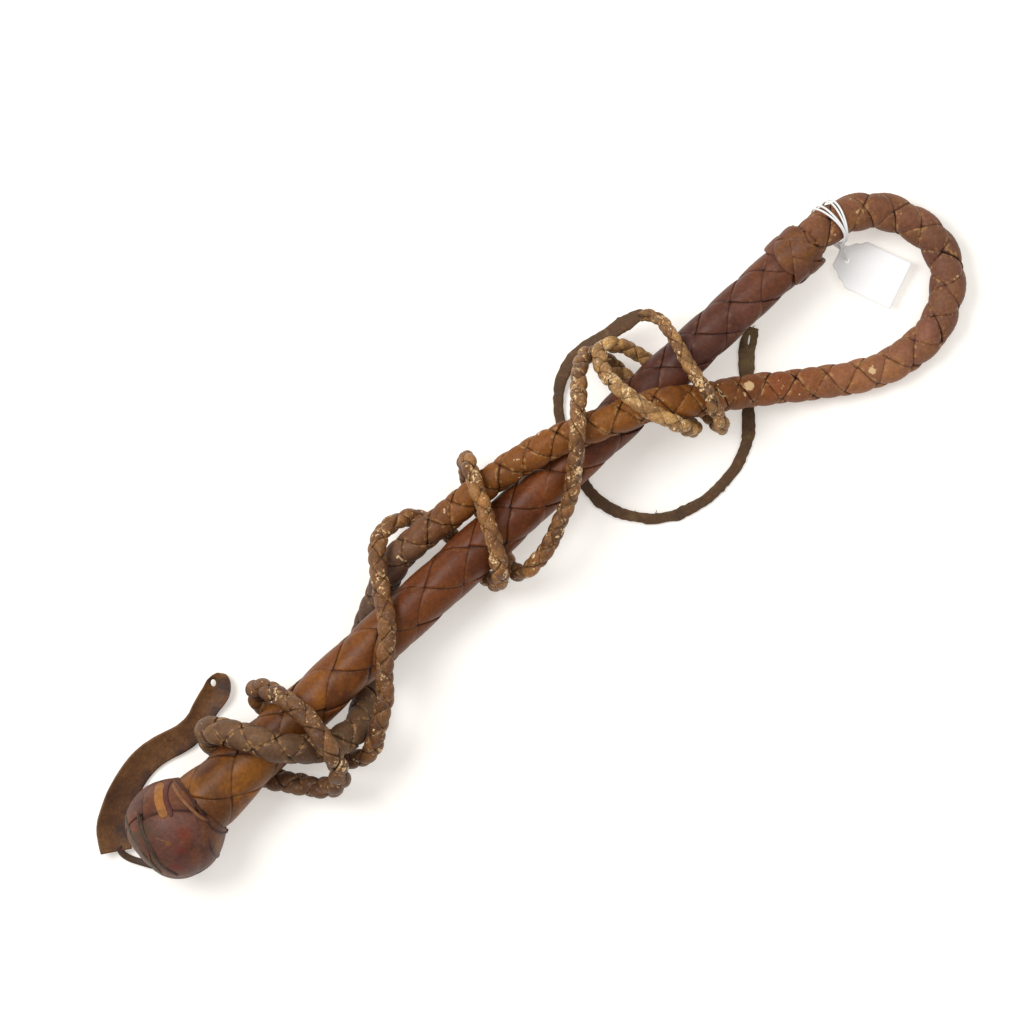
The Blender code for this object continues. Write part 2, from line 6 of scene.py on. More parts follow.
import bpy
import numpy as np
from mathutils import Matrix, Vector


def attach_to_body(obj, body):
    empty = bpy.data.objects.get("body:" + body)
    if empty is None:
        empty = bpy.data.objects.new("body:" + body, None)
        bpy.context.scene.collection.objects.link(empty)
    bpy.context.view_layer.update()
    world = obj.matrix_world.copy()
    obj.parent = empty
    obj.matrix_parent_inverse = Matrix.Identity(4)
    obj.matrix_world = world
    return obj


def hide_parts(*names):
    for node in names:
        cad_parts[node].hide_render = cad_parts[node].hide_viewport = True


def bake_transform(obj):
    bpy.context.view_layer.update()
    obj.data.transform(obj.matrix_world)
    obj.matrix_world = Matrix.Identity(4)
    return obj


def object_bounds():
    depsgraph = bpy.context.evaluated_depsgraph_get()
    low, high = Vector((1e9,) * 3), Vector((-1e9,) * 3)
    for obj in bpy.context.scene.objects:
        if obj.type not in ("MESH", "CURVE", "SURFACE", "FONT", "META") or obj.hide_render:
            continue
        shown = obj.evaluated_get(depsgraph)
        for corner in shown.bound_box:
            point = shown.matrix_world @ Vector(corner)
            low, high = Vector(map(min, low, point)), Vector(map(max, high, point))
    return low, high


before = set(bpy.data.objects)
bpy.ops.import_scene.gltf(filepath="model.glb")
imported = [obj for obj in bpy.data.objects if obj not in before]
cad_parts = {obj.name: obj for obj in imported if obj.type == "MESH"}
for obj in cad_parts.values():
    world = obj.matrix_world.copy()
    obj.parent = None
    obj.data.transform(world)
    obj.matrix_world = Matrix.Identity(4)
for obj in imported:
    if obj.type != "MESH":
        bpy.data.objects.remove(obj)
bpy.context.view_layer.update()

MM = 0.001
TABLE_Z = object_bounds()[0].z

# All lengths in these tables are millimetres in the part's frame, with the handle's axis on x.

# Outer radius along the handle, the length of one crossing of its plait, and the knob's outline.
HANDLE_PROFILE = [
    (20, 17), (30, 17.6), (38, 18.1), (44, 18), (49, 17.6), (58, 16.7), (75, 15.4), (105, 14.2), (150, 13.6),
    (210, 13.5), (300, 12.8), (380, 12.2), (430, 12), (455, 11.5), (462, 9), (469, 8),
]
CROSSING_LENGTH = [(20, 16.5), (200, 16), (290, 13.5), (400, 12.2), (469, 12.2)]
KNOB_OUTLINE = [
    (0.2, 3), (0.3, 9), (1.2, 13.4), (4, 18.3), (8, 22.2), (13, 25), (19, 26.5), (25, 26.7), (31, 25.4),
    (36, 22.8), (39.5, 20.4), (42, 18.7),
]
KNOB_XS, KNOB_RADII = zip(*KNOB_OUTLINE[:-1], *HANDLE_PROFILE[3:])
BUTTON_PROFILE = [(-0.8, 1.2), (-0.7, 2.4), (-0.4, 3.5), (0.1, 4.3), (0.7, 4.5), (1.2, 4)]

# Strips laid on the knob: name, route as (x, degrees from the top), width, thickness, colour.
KNOB_STRIPS = [
    ("knob_amber_strip", [(33.5, -70), (32.4, -60), (28.5, -40), (25.2, -17)], 5, 1, (0.29, 0.115, 0.026)),
    ("knob_maroon_strip", [(38.5, -70), (36, -58), (31.5, -36), (28.2, -13)], 2.8, 1.3,
     (0.085, 0.024, 0.018)),
    ("knob_pale_strip", [(38.5, -58), (37.6, -34), (37.6, -12), (38.2, 10), (39.5, 24)], 2, 0.9,
     (0.215, 0.095, 0.04)),
    ("knob_neck_seam", [(40.6, -75), (41.2, -30), (40.2, 5), (38.6, 35), (39.5, 60), (42, 100)], 1.2, 0.8,
     (0.06, 0.02, 0.014)),
    ("knob_amber_line", [(14.8, -7), (16.4, 0), (18, 6)], 0.7, 0.5, (0.17, 0.078, 0.026)),
    # These two dark strips stand for slits under lifted leather: the slits are real, their dark is painted
    # shade.
    ("knob_low_shaded_slit", [(16, -48), (11.5, -28), (8.8, -5), (6.6, 25), (8.5, 55)], 2.6, 1.2,
     (0.05, 0.028, 0.018)),
    ("knob_lower_shaded_slit", [(9, -80), (6, -50), (3.6, -10), (3, 45)], 2.6, 1.2, (0.08, 0.055, 0.032)),
    ("knob_side_fold", [(31, 120), (29, 90), (30, 60), (34, 38)], 1.6, 0.8, (0.075, 0.03, 0.02)),
]
STRIP_SINK = 0.15  # how deep their middles lie under the knob's outline

# The ring knot: its middle, its radius, how far its strand rises and sways, times round, and bights.
RING_X, RING_RADIUS, RING_RISE, RING_SWAY, RING_TURNS, RING_BIGHTS = 460, 12.2, 0.8, 6.0, 3, 5

# The usual colour and the patch colour of a plain band, such as a cord.
BAND_COLOURS = (0.1, 0.04, 0.02), (0.14, 0.05, 0.02)

# The thong from the ring knot to its tip: name, CAD nodes it replaces, and rows of (x, y, z, radius).
# The first few pieces are thick.
SPANS = [
    ("thong_root", [], [
     (455, 0, 0.4, 10.9), (468, 0.6, 0.3, 10.8), (471.5, 0.7, 0, 10.7)]),
    ("thong_loop", ["thong_loop_cover", "thong_loop_belly"], [
     (476, 0.8, -0.5, 10.5), (494, -3, -7, 10.4), (507.5, -11.2, -14, 10.3), (516.2, -24.5, -18.5, 10.1),
     (520.5, -45, -20.9, 10), (510.3, -65.5, -21, 9.9), (487.5, -78, -21.1, 9.8), (461, -76.5, -21.3, 9.6),
     (443, -69, -21.5, 9.4), (425, -57, -19.5, 9.3), (404, -42, -14, 9.2), (393, -34.3, -8.5, 9.2),
     (383.5, -28, -2, 9.1)]),
    ("thong_upper", ["thong_upper_cover"], [
     (373, -22, 8, 9.1), (365, -16, 15, 9), (357, -10, 19.7, 9), (344, -3, 22, 9), (331, 2, 22.2, 8.8),
     (312, 10, 19.9, 8.7), (299, 14.3, 17.2, 8.7), (286, 17.6, 13.8, 8.7), (261, 21.6, 4.4, 8.6),
     (236, 23, -3, 8.6), (211, 25, -8, 8.6), (200, 24, -10.5, 8.6), (188, 20, -13.5, 8.5),
     (176, 14, -18.5, 8.5), (164, 8, -21.6, 8.4), (154, -1, -22.4, 8.4)]),
    ("thong_turn", ["thong_turn_cover"], [
     (144, -14, -19.5, 8.4), (133, -23, -9.5, 8.4), (126, -26, -1, 8.4), (119, -25, 5.5, 8.4),
     (109, -21, 11.8, 8.4), (101, -15, 18, 8.3), (91, -4, 23.2, 8.2), (84, 9, 22, 8), (75, 21, 12.2, 7.8),
     (70, 26, 0, 7.6), (67, 23.5, -11, 7.4), (65.5, 15, -20.7, 7.2), (66, 4, -23.6, 7)]),
    ("thong_low_bight_plait", ["thong_low_bight"], [
     (70, -6, -23.2, 6.9), (76, -16, -20, 6.8), (82, -24, -15.5, 6.6), (90, -34, -10, 6.5),
     (98, -39.5, 0, 6.4), (105, -37, 13, 6.3), (110, -28, 25, 6.2), (112.5, -17, 30, 6.2),
     (113.5, -5, 27, 6.1), (112, 6, 21.5, 6), (109.5, 15, 14.5, 6), (105.5, 22.5, 4, 5.9),
     (101.5, 24.5, -6, 5.9), (98, 18, -14.5, 5.8), (97.5, 6, -20.3, 5.8)]),
    ("thong_long_bight_plait", ["thong_long_bight"], [
     (100.5, -8, -20, 5.8), (105, -22, -17.5, 5.7), (110.5, -33.5, -12.5, 5.7), (117.5, -38.3, -5, 5.6),
     (126, -38.8, 3, 5.6), (138.5, -31, 10.5, 5.6), (149, -24, 14, 5.5), (158, -14, 17, 5.5),
     (171, -2, 20, 5.5), (179, 7.5, 19, 5.5), (185, 18, 14, 5.4), (192, 28, 7.5, 5.4), (199, 36.5, 1, 5.4),
     (206, 40, -6, 5.4), (213, 39.5, -12.5, 5.3), (220, 36.5, -17.5, 5.3), (226, 30, -20.8, 5.3),
     (229.5, 20, -21.6, 5.3), (230, 8, -21, 5.3)]),
    ("thong_wrap_one_plait", ["thong_wrap_one"], [
     (229, -6, -20.4, 5.3), (229.3, -15.5, -15, 5.2), (232, -20.3, -4.5, 5.2), (235, -18.5, 7, 5.2),
     (239, -13, 15.3, 5.2), (245, -3, 19.6, 5.1), (249.5, 7, 19.4, 5.1), (254, 16, 18.8, 5.1),
     (258, 25.8, 17.6, 5.1), (262, 33.8, 12.4, 5.1), (263.5, 37.8, 3, 5.1), (262, 37.5, -6.5, 5.1),
     (258.5, 33, -14.5, 5.1), (254, 24, -19.5, 5), (250.5, 13, -20.5, 5)]),
    ("thong_wrap_two_plait", ["thong_wrap_two"], [
     (247, 0, -20, 5), (243.5, -13, -16.5, 5), (242.3, -21.5, -7.5, 5), (246, -25.5, 1, 5),
     (254, -25.5, 7, 5), (263, -24, 10, 5), (271, -21, 12, 5), (279, -17.5, 14, 5), (287, -14, 16.5, 5),
     (294, -9, 21, 5), (300, -4, 26.5, 5), (306, 1, 31.3, 5), (312, 7, 34.3, 5), (318, 13, 34, 5),
     (324, 19, 29.5, 5), (331, 26, 20.5, 5), (337.5, 32, 10.5, 5), (343, 35.5, 0, 4.9), (348.5, 34, -9, 4.9),
     (351.5, 27, -15.5, 4.9), (353.5, 16, -19, 4.9)]),
    ("thong_wrap_three_plait", ["thong_wrap_three"], [
     (355, 4, -18.6, 4.8), (357, -8, -18.3, 4.8), (359.5, -20, -15, 4.8), (361, -28, -7, 4.8),
     (360.5, -30.3, 3, 4.8), (358, -28.5, 14, 4.8), (355.5, -24, 25, 4.8), (352, -16.5, 32.3, 4.8),
     (348.5, -8, 36, 4.8), (346.5, 2, 36, 4.8), (345, 12, 30, 4.7), (345.5, 21.5, 19, 4.7),
     (348.5, 29, 9, 4.7), (353.5, 32.5, 3, 4.7), (358.5, 31, -1.5, 4.7), (363, 25.5, -8, 4.6),
     (366.5, 16, -14.8, 4.6), (369, 5, -18, 4.6)]),
    ("thong_wrap_four_plait", ["thong_wrap_four"], [
     (370.5, -8, -18, 4.5), (371, -22, -15, 4.5), (371, -33, -9, 4.5), (371, -39.5, 1, 4.5),
     (372.5, -38, 11.5, 4.4), (374.5, -31, 20, 4.4), (376.5, -23, 24.5, 4.4), (378, -14, 23.5, 4.3),
     (380, -5, 20, 4.2), (382.5, 5, 17.5, 4.1), (384.8, 14.5, 12, 4), (385.5, 22, 6.5, 3.9),
     (383.5, 28, 3, 3.8), (378.5, 31.5, 1, 3.4)]),
]
THICK_SPANS = 4

# Where the zigzag seam of the thong faces: (distance from the ring, degrees round from the top).
SEAM_FACES = [(0, 20), (45, 35), (80, 45), (110, 55), (140, 70), (165, 80), (400, 80), (460, 90), (3000, 90)]

# How much a strand of a plait widens where it lies on top.
STRAND_BULGE = 0.1

# Flat strips: (x, y, z, width, roll in degrees), where roll 0 lies flat. The strap's rows end with a curl.
FALL_FIRST_LAY = [
    (383.5, 29.5, 2.5, 4.5, 0), (379.5, 32, 0, 6.5, 10), (372, 34, -6, 8, 15), (362, 36, -13, 7.6, 15),
    (350, 38.5, -20, 7.2, 15), (338, 38.6, -24.5, 6.8, 12), (327, 34.5, -27.5, 6.2, 10),
    (318.5, 27, -29, 5.6, 5), (312, 18, -29.4, 5.4, 0), (306.5, 8, -29.4, 5.4, 0), (302, -5, -29.4, 5.6, 0),
    (299.5, -17, -29.2, 5.8, 5), (300.5, -29, -28.8, 5.9, 12), (305.5, -40.5, -28.6, 5.9, 18),
    (313.5, -50.6, -28.6, 5.9, 20), (325, -58.2, -28.6, 5.9, 20),
]
FALL_LAST_LAY = [
    (321.5, -56.1, -28.62, 5.7, 20), (326, -58.6, -28.62, 5.8, 20), (339, -62, -28.6, 5.9, 20),
    (355, -62.3, -28.8, 5.9, 18), (367, -59.8, -29, 6, 14), (378, -54.7, -29.3, 6.4, 8),
    (386, -47, -29.5, 6.6, 0), (394, -38, -29.6, 7, 0), (402, -28, -29.6, 7.8, 0), (410, -20, -29.6, 8.8, 0),
    (416.5, -15.2, -29.6, 8.6, 0), (420.5, -12.6, -29.6, 7.8, 0),
]
STRAP_LAY = [
    (-11.2, 12.2, -25.5, 16.5, 10, 1.4), (-7.2, 18.5, -25.8, 17.5, 14, 1.6), (-2.7, 24.1, -26, 17.6, 20, 1.8),
    (7.5, 30.6, -26.2, 17.2, 26, 2), (16, 34.2, -26.3, 16.8, 28, 2), (25.7, 36.6, -26.4, 16.4, 28, 1.8),
    (34.5, 37.2, -26.6, 16, 26, 1.6), (43, 36, -26.8, 15.5, 22, 1.4), (51, 33.5, -27, 15, 18, 1.2),
    (58.3, 32.3, -27.3, 14.5, 16, 1.2), (66.5, 33.2, -27.6, 13.8, 18, 1.6),
    (74.8, 36.2, -27.6, 13.8, 14, 2.4), (82.9, 38, -27, 14.6, 8, 3.4), (88, 40.2, -26.8, 13.5, 4, 3.4),
    (91.3, 42.2, -26.4, 9.5, 2, 2), (92.8, 43.3, -26.2, 5, 0, 1),
]

# Holes: middle, half sizes, degrees turned.
FALL_SLIT = (414.7, -16.4, -29.6), (0.5, 2.7), -52
STRAP_EYE = (86.2, 42.6, -27), (1.35, 1.9), -40

# The lace: (x, y, z, radius).
LACE_LAY = [
    (9, -15.5, -24, 1.5), (6, -16.2, -25.2, 1.7), (2.5, -13.2, -26.6, 1.8), (-1.5, -7.5, -28, 1.9),
    (-5.5, -1, -28.6, 1.8), (-8.5, 4.5, -28.4, 1.7), (-9.5, 9, -27, 1.7), (-8.5, 13, -25.2, 1.6),
]

# Torn fibres: name, body, and (root, direction, length) of each tuft.
FRAYS = [
    ("thong_frayed_fibres", "handle", [
        ((382.5, -24, 23), (-0.5, -1, 0.3), 3.0), ((381.5, -27.5, 20), (0.2, -1, 0), 3.2),
        ((373.5, -41, 12), (0.6, -1, 0), 2.4), ((347, 35.5, 4), (0.2, 1, 0), 2.4),
        ((338, 35, 12), (-0.2, 1, 0.2), 2.0), ((236, -23, 4), (0.3, -1, 0), 1.6)]),
    ("fall_middle_fibres", "fall_middle", [
        ((309, -42, -28), (0.8, 1, 0.2), 2.4), ((303, -33, -28), (0.9, 0.5, 0.2), 2.2),
        ((317, -50.5, -28), (0.3, 1, 0.2), 1.8), ((299, -25, -28), (1, 0.2, 0.3), 1.6)]),
    ("fall_end_fibres", "fall_end", [
        ((421, -13, -29), (1, 0.6, 0.3), 2.4), ((419, -16, -29), (1, -0.4, 0.3), 2.4),
        ((417, -18, -29), (0.8, -0.9, 0.2), 1.6)]),
]
FRAY_SEED, FIRST_FALL_SEED, LAST_FALL_SEED, STRAP_SEED = 11, 3, 4, 5

# The ticket: the hole in its card, the string's knot, and how each turn of string creeps and how wide it is.
TICKET_HOLE = np.array([480.6, -21.0, -26.6])
TICKET_KNOT = np.array([482.2, -14.4, -20.5])
STRING_TURNS = [(-4.4, 11.35), (-2.0, 11.5), (2.6, 11.45), (4.3, 11.6)]

# Colours along a plait: (distance, usual colour, patch colour), the colours as thousandths.
HANDLE_PALETTE = [
    (0, 110, 40, 18, 185, 68, 10), (50, 150, 47, 12, 230, 80, 8), (110, 122, 35, 8, 170, 55, 6),
    (200, 98, 24, 6, 132, 34, 6), (270, 122, 31, 8, 162, 44, 8), (310, 110, 29, 10, 145, 40, 10),
    (360, 85, 28, 20, 105, 36, 22), (440, 120, 40, 21, 135, 41, 14),
]
KNOB_PALETTE = [
    (0, 85, 40, 26, 120, 50, 18), (25, 100, 39, 27, 138, 37, 15), (48, 120, 46, 34, 150, 52, 24),
    (70, 125, 44, 22, 165, 60, 14),
]
THONG_PALETTE = [
    (0, 125, 43, 22, 165, 60, 24), (40, 215, 82, 38, 240, 100, 36), (100, 130, 50, 30, 158, 65, 32),
    (140, 165, 64, 38, 190, 78, 36), (180, 270, 108, 52, 285, 120, 42), (235, 205, 73, 24, 185, 52, 16),
    (300, 190, 58, 8, 220, 76, 10), (420, 172, 55, 8, 198, 66, 10), (480, 92, 44, 27, 115, 62, 38),
    (560, 98, 48, 24, 135, 76, 38), (640, 95, 47, 23, 140, 70, 30), (760, 115, 45, 16, 165, 74, 24),
    (900, 120, 44, 14, 180, 76, 20), (1050, 125, 46, 13, 205, 86, 23), (1200, 145, 55, 15, 300, 134, 37),
    (1450, 112, 43, 12, 240, 100, 28), (1560, 195, 86, 25, 420, 225, 72),
    (1660, 260, 125, 40, 480, 270, 90), (1830, 190, 82, 24, 340, 170, 52),
]

# Marks on the leather: (x, y, z, reach) and a colour.
CREAM, RED, DARK_SPOT_AND_SHADE = (0.64, 0.43, 0.22), (0.145, 0.02, 0.012), (0.02, 0.013, 0.014)
OLIVE, AMBER, TAN = (0.06, 0.042, 0.024), (0.2, 0.085, 0.022), (0.2, 0.132, 0.05)
KNOB_MARKS = [
    ((27, -4.5, 25.4, 6.5), RED), ((20.3, -9.5, 24.6, 5.5), RED), ((24.6, -12.9, 23.4, 2.6), DARK_SPOT_AND_SHADE),
    ((14, 8.3, 23.5, 6.5), OLIVE), ((7, 12, 18, 5.5), OLIVE), ((12, -14, 18, 6), RED),
    ((34, -20, 10, 7), AMBER), ((17, -3, 26, 2.6), AMBER),
]
# On the strap, painted shade: the hollow round its eye and its inner side, which lies in shadow.
STRAP_PAINTED_SHADE = [((85.5, 47, -26, 5), DARK_SPOT_AND_SHADE), ((88.5, 37.5, -26, 6.5), DARK_SPOT_AND_SHADE)] + [
    ((x, y, -26, 7.5), DARK_SPOT_AND_SHADE) for x, y in ((0, 17), (8, 22), (17, 26), (27, 28), (37, 28), (47, 26.5), (57, 25),
                                         (67, 26.5), (77, 30))]
FALL_MARKS = [((417, -15, -29, 9), TAN), ((408, -23, -29, 9), TAN), ((398, -33, -29, 8), TAN)]
THONG_MARKS = [
    ((396.3, -33.8, -1, 2.9), CREAM), ((391.5, -34.4, 0, 1.7), CREAM), ((449.9, -71.2, -12, 2.6), CREAM),
    ((526, -31.4, -9, 2), CREAM), ((522.3, -58.1, -12, 1.7), CREAM), ((499.4, -6.6, 2, 2), CREAM),
    ((69.6, 28.2, 1, 2.6), CREAM),
]

# The point the lights face, in metres, and how far the floor lies under the lowest point of the part.
MIDDLE = (0.26, 0, 0)
FLOOR_DROP = 0.0005


def hashed(*numbers):
    """A repeatable number from 0 to 1 for whole numbers."""
    mixed = np.sin(sum(np.asarray(n) * k for n, k in zip(numbers, (12.9898, 78.233, 37.719)))) * 43758.5453
    return mixed - np.floor(mixed)


def catmull_rows(lay, step):
    """Points about every step millimetres on a smooth curve through the rows of a lay."""
    lay = np.asarray(lay, float)
    padded = np.vstack([2 * lay[0] - lay[1], lay, 2 * lay[-1] - lay[-2]])
    rows = []
    for i in range(1, len(padded) - 2):
        a, b, c, d = padded[i - 1:i + 3]
        count = max(2, round(np.linalg.norm((c - b)[:3]) / step))
        t = (np.arange(count) / count)[:, None]
        rows.append(0.5 * (2 * b + (c - a) * t + (2 * a - 5 * b + 4 * c - d) * t ** 2
                           + (3 * b - a - 3 * c + d) * t ** 3))
    rows.append(lay[-1:])
    return np.vstack(rows)


def unit(vectors):
    return vectors / np.maximum(np.linalg.norm(vectors, axis=-1, keepdims=True), 1e-9)


class Rope:
    """A centre line with its radius, a frame carried along it, and the turn and phase of its plait."""

    def __init__(self, lay, pitch):
        rows = catmull_rows(lay, 1.0)
        self.centre = rows[:, :3]
        self.radius = rows[:, 3]
        steps = np.linalg.norm(np.diff(self.centre, axis=0), axis=1)
        self.along = np.concatenate([[0], np.cumsum(steps)])
        self.tangent = unit(np.gradient(self.centre, self.along, axis=0))
        self.side = self.carry(np.array([0, 0, 1.0]))
        self.up = np.cross(self.tangent, self.side)
        rate = math.pi / pitch(self)
        self.turn = np.concatenate([[0], np.cumsum((rate[1:] + rate[:-1]) / 2 * steps)])
        self.phase = np.zeros(len(rows))

    def carry(self, first):
        """Directions square to the centre line, carried along it without twist."""
        sides = np.zeros_like(self.centre)
        current = first
        for i, tangent in enumerate(self.tangent):
            current = current - tangent * (current @ tangent)
            current = current / np.linalg.norm(current)
            sides[i] = current
        return sides

    def face_seam(self, faces, ways, most_twist=0.022, level_enough=0.55, window=15):
        """Turns the plait slowly so that its seam keeps the wanted direction from the top."""
        above = np.array([0, 0, 1.0]) - self.tangent * self.tangent[:, 2:3]
        angle = np.arctan2((above * self.up).sum(1), (above * self.side).sum(1))
        wanted = np.interp(self.along, [a for a, _ in faces], [math.radians(d) for _, d in faces])
        repeat = math.pi / ways
        goal = angle + wanted - math.pi / (2 * ways)
        steady = np.linalg.norm(above, axis=1) > level_enough
        phase = np.zeros(len(goal))
        current = goal[0]
        steps = np.diff(self.along, prepend=0)
        for i, target in enumerate(goal):
            if steady[i]:
                miss = (target - current + repeat / 2) % repeat - repeat / 2
                limit = most_twist * steps[i]
                current += min(max(miss, -limit), limit)
            phase[i] = current
        padded = np.pad(phase, window // 2, "edge")
        self.phase = np.convolve(padded, np.ones(window) / window, "valid")

    def at(self, values, place):
        """values along the rope, looked up at given places in millimetres."""
        values = np.asarray(values)
        if values.ndim == 1:
            return np.interp(place, self.along, values)
        return np.stack([np.interp(place, self.along, values[:, k]) for k in range(3)], axis=-1)

    def surface(self, place, angle, depth):
        """Points at an angle round the rope, depth millimetres below its outer radius."""
        centre = self.at(self.centre, place)
        side = unit(self.at(self.side, place))
        up = unit(self.at(self.up, place))
        reach = (self.at(self.radius, place) - depth)[..., None]
        return centre + (side * np.cos(angle)[..., None] + up * np.sin(angle)[..., None]) * reach


def eased(value, low, high):
    t = np.clip((value - low) / (high - low), 0, 1)
    return t * t * (3 - 2 * t)


@dataclass
class PlaitStyle:
    """How the strands of a plait sit, and their colours along its length."""

    ways: int          # strands each way round
    base: float        # a strand is base + share * radius thick, in millimetres
    share: float
    palette: list
    dome: float        # how far the long edges of a strand drop
    edge_dip: float    # how sharply they drop at the very edge
    end_dip: float     # how far a strand dips where it goes under
    tilt: float        # how unevenly the strands lie
    stations: int      # rows of points for each crossing
    across: int        # points across a strand's outer face
    contrast: float = 0.36


def palette_at(palette, place, pick):
    """Two colours for each point: the one its scale mostly has, and the one it is patched with."""
    rows = np.array(palette, float)
    first, second = (np.stack([np.interp(place, rows[:, 0], rows[:, k] / 1000) for k in columns], axis=-1)
                     for columns in ((1, 2, 3), (4, 5, 6)))
    pick = pick[..., None]
    return first + (second - first) * pick, second + (first - second) * pick


def sleeve(rows, width, order, closed=False):
    """Faces through rows of points, capped at the ends or closed to a ring. order winds each face."""
    base = np.arange(rows if closed else rows - 1)[:, None] * width
    ahead = (base + width) % (rows * width)
    ring = np.arange(width)
    following = np.roll(ring, -1)
    corners = (base + ring, base + following, ahead + following, ahead + ring)
    faces = np.stack([corners[k] for k in order], axis=-1).reshape(-1, 4).tolist()
    if not closed:
        caps = [list(range(width)), list(range(rows * width - 1, (rows - 1) * width - 1, -1))]
        faces += [cap[::-1] for cap in caps] if order[1] == 1 else caps
    return faces


def strand_mesh(rope, style, direction, index, first_turn, last_turn):
    """Points, faces and attributes of one strand between two turns of the plait."""
    cell = math.pi / style.ways
    count = max(2, int(round((last_turn - first_turn) / cell * style.stations)))
    turn = np.linspace(first_turn, last_turn, count + 1)[:, None]
    outer = np.linspace(-1, 1, style.across)
    outer = np.sign(outer) * np.abs(outer) ** 0.8
    inner = [0.88, 0.0, -0.88]
    v = np.concatenate([outer, inner])[None, :]
    is_under = np.arange(v.size)[None, :] >= style.across

    # u runs from -1 to 1 over each visible scale, and chance holds six repeatable numbers for the scale.
    counted = turn / cell + (direction < 0)
    u = np.mod(counted + 1, 2) - 1
    number = np.floor((counted + 1) / 2)
    strand = index + (0 if direction > 0 else style.ways)
    chance = [hashed(number, strand, k) for k in (1.0, 2.0, 3.0, 4.0, 5.0, 6.0)]
    shown = 1 - eased(np.abs(u), 0.46, 0.6)

    reach = np.clip(np.abs(2 * u), 0, 1)
    half = cell / 2 * (1.0 + STRAND_BULGE * (0.7 - reach ** 2)) * (1 + 0.16 * (chance[2] - 0.4) * shown)
    slip = cell / 2 * 0.16 * (chance[1] - 0.5) * shown
    place = np.interp(turn + v * half + slip, rope.turn, rope.along)
    angle = direction * (turn - v * half - slip) + index * math.tau / style.ways + rope.at(rope.phase, place)

    along_height = 1 - style.end_dip * reach ** 2.4
    edge = (1 - style.dome * v ** 2) * (1 - style.edge_dip * np.abs(v) ** 7)
    lean = style.tilt * ((chance[3] - 0.5) * v + (chance[4] - 0.5) * 2 * u * 0.6)
    height = (along_height * edge + lean * (0.35 + 0.65 * reach)) * shown
    height = height * (1 - 0.2 * chance[5])
    thickness = style.base + style.share * rope.at(rope.radius, place)
    depth = np.where(is_under, thickness * (1.8 - 0.5 * shown), thickness * (1 - height))
    points = rope.surface(place, angle, depth)

    faces = sleeve(*place.shape, (0, 1, 2, 3) if direction > 0 else (3, 2, 1, 0))
    weave = np.stack([np.broadcast_to(values, place.shape) for values in (u, v, chance[1])], axis=-1)
    main, patch = palette_at(style.palette, place, eased(chance[0], 0.35, 0.65))
    main = main * (1 + style.contrast * (chance[1] - 0.5))[..., None]
    points, weave, main, patch = (values.reshape(-1, 3) for values in (points, weave, main, patch))
    return points, faces, weave, main, patch


def join_parts(parts):
    """One set of points, faces and attributes from several."""
    faces, offset = [], 0
    for part in parts:
        faces += [[i + offset for i in face] for face in part[1]]
        offset += len(part[0])
    points, *attributes = (np.vstack([part[k] for part in parts]) for k in range(len(parts[0])) if k != 1)
    return points, faces, *attributes


def mesh_object(name, points, faces, weave=None, main=None, patch=None, material=None):
    data = bpy.data.meshes.new(name)
    data.from_pydata((np.reshape(points, (-1, 3)) * MM).tolist(), [], faces)
    data.update()
    for label, values in (("weave", weave), ("main", main), ("patch", patch)):
        if values is not None:
            attribute = data.attributes.new(label, "FLOAT_VECTOR", "POINT")
            attribute.data.foreach_set("vector", np.asarray(values, np.float32).ravel())
    data.shade_smooth()
    data.materials.append(material)
    made = bpy.data.objects.new(name, data)
    bpy.context.scene.collection.objects.link(made)
    return made


def attach(piece, body, slot, *nodes):
    """Gives a piece its body, in place of the CAD nodes named; slot is not used."""
    if nodes:
        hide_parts(*nodes)
    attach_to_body(piece, body)


# Materials ------------------------------------------------------------------------------

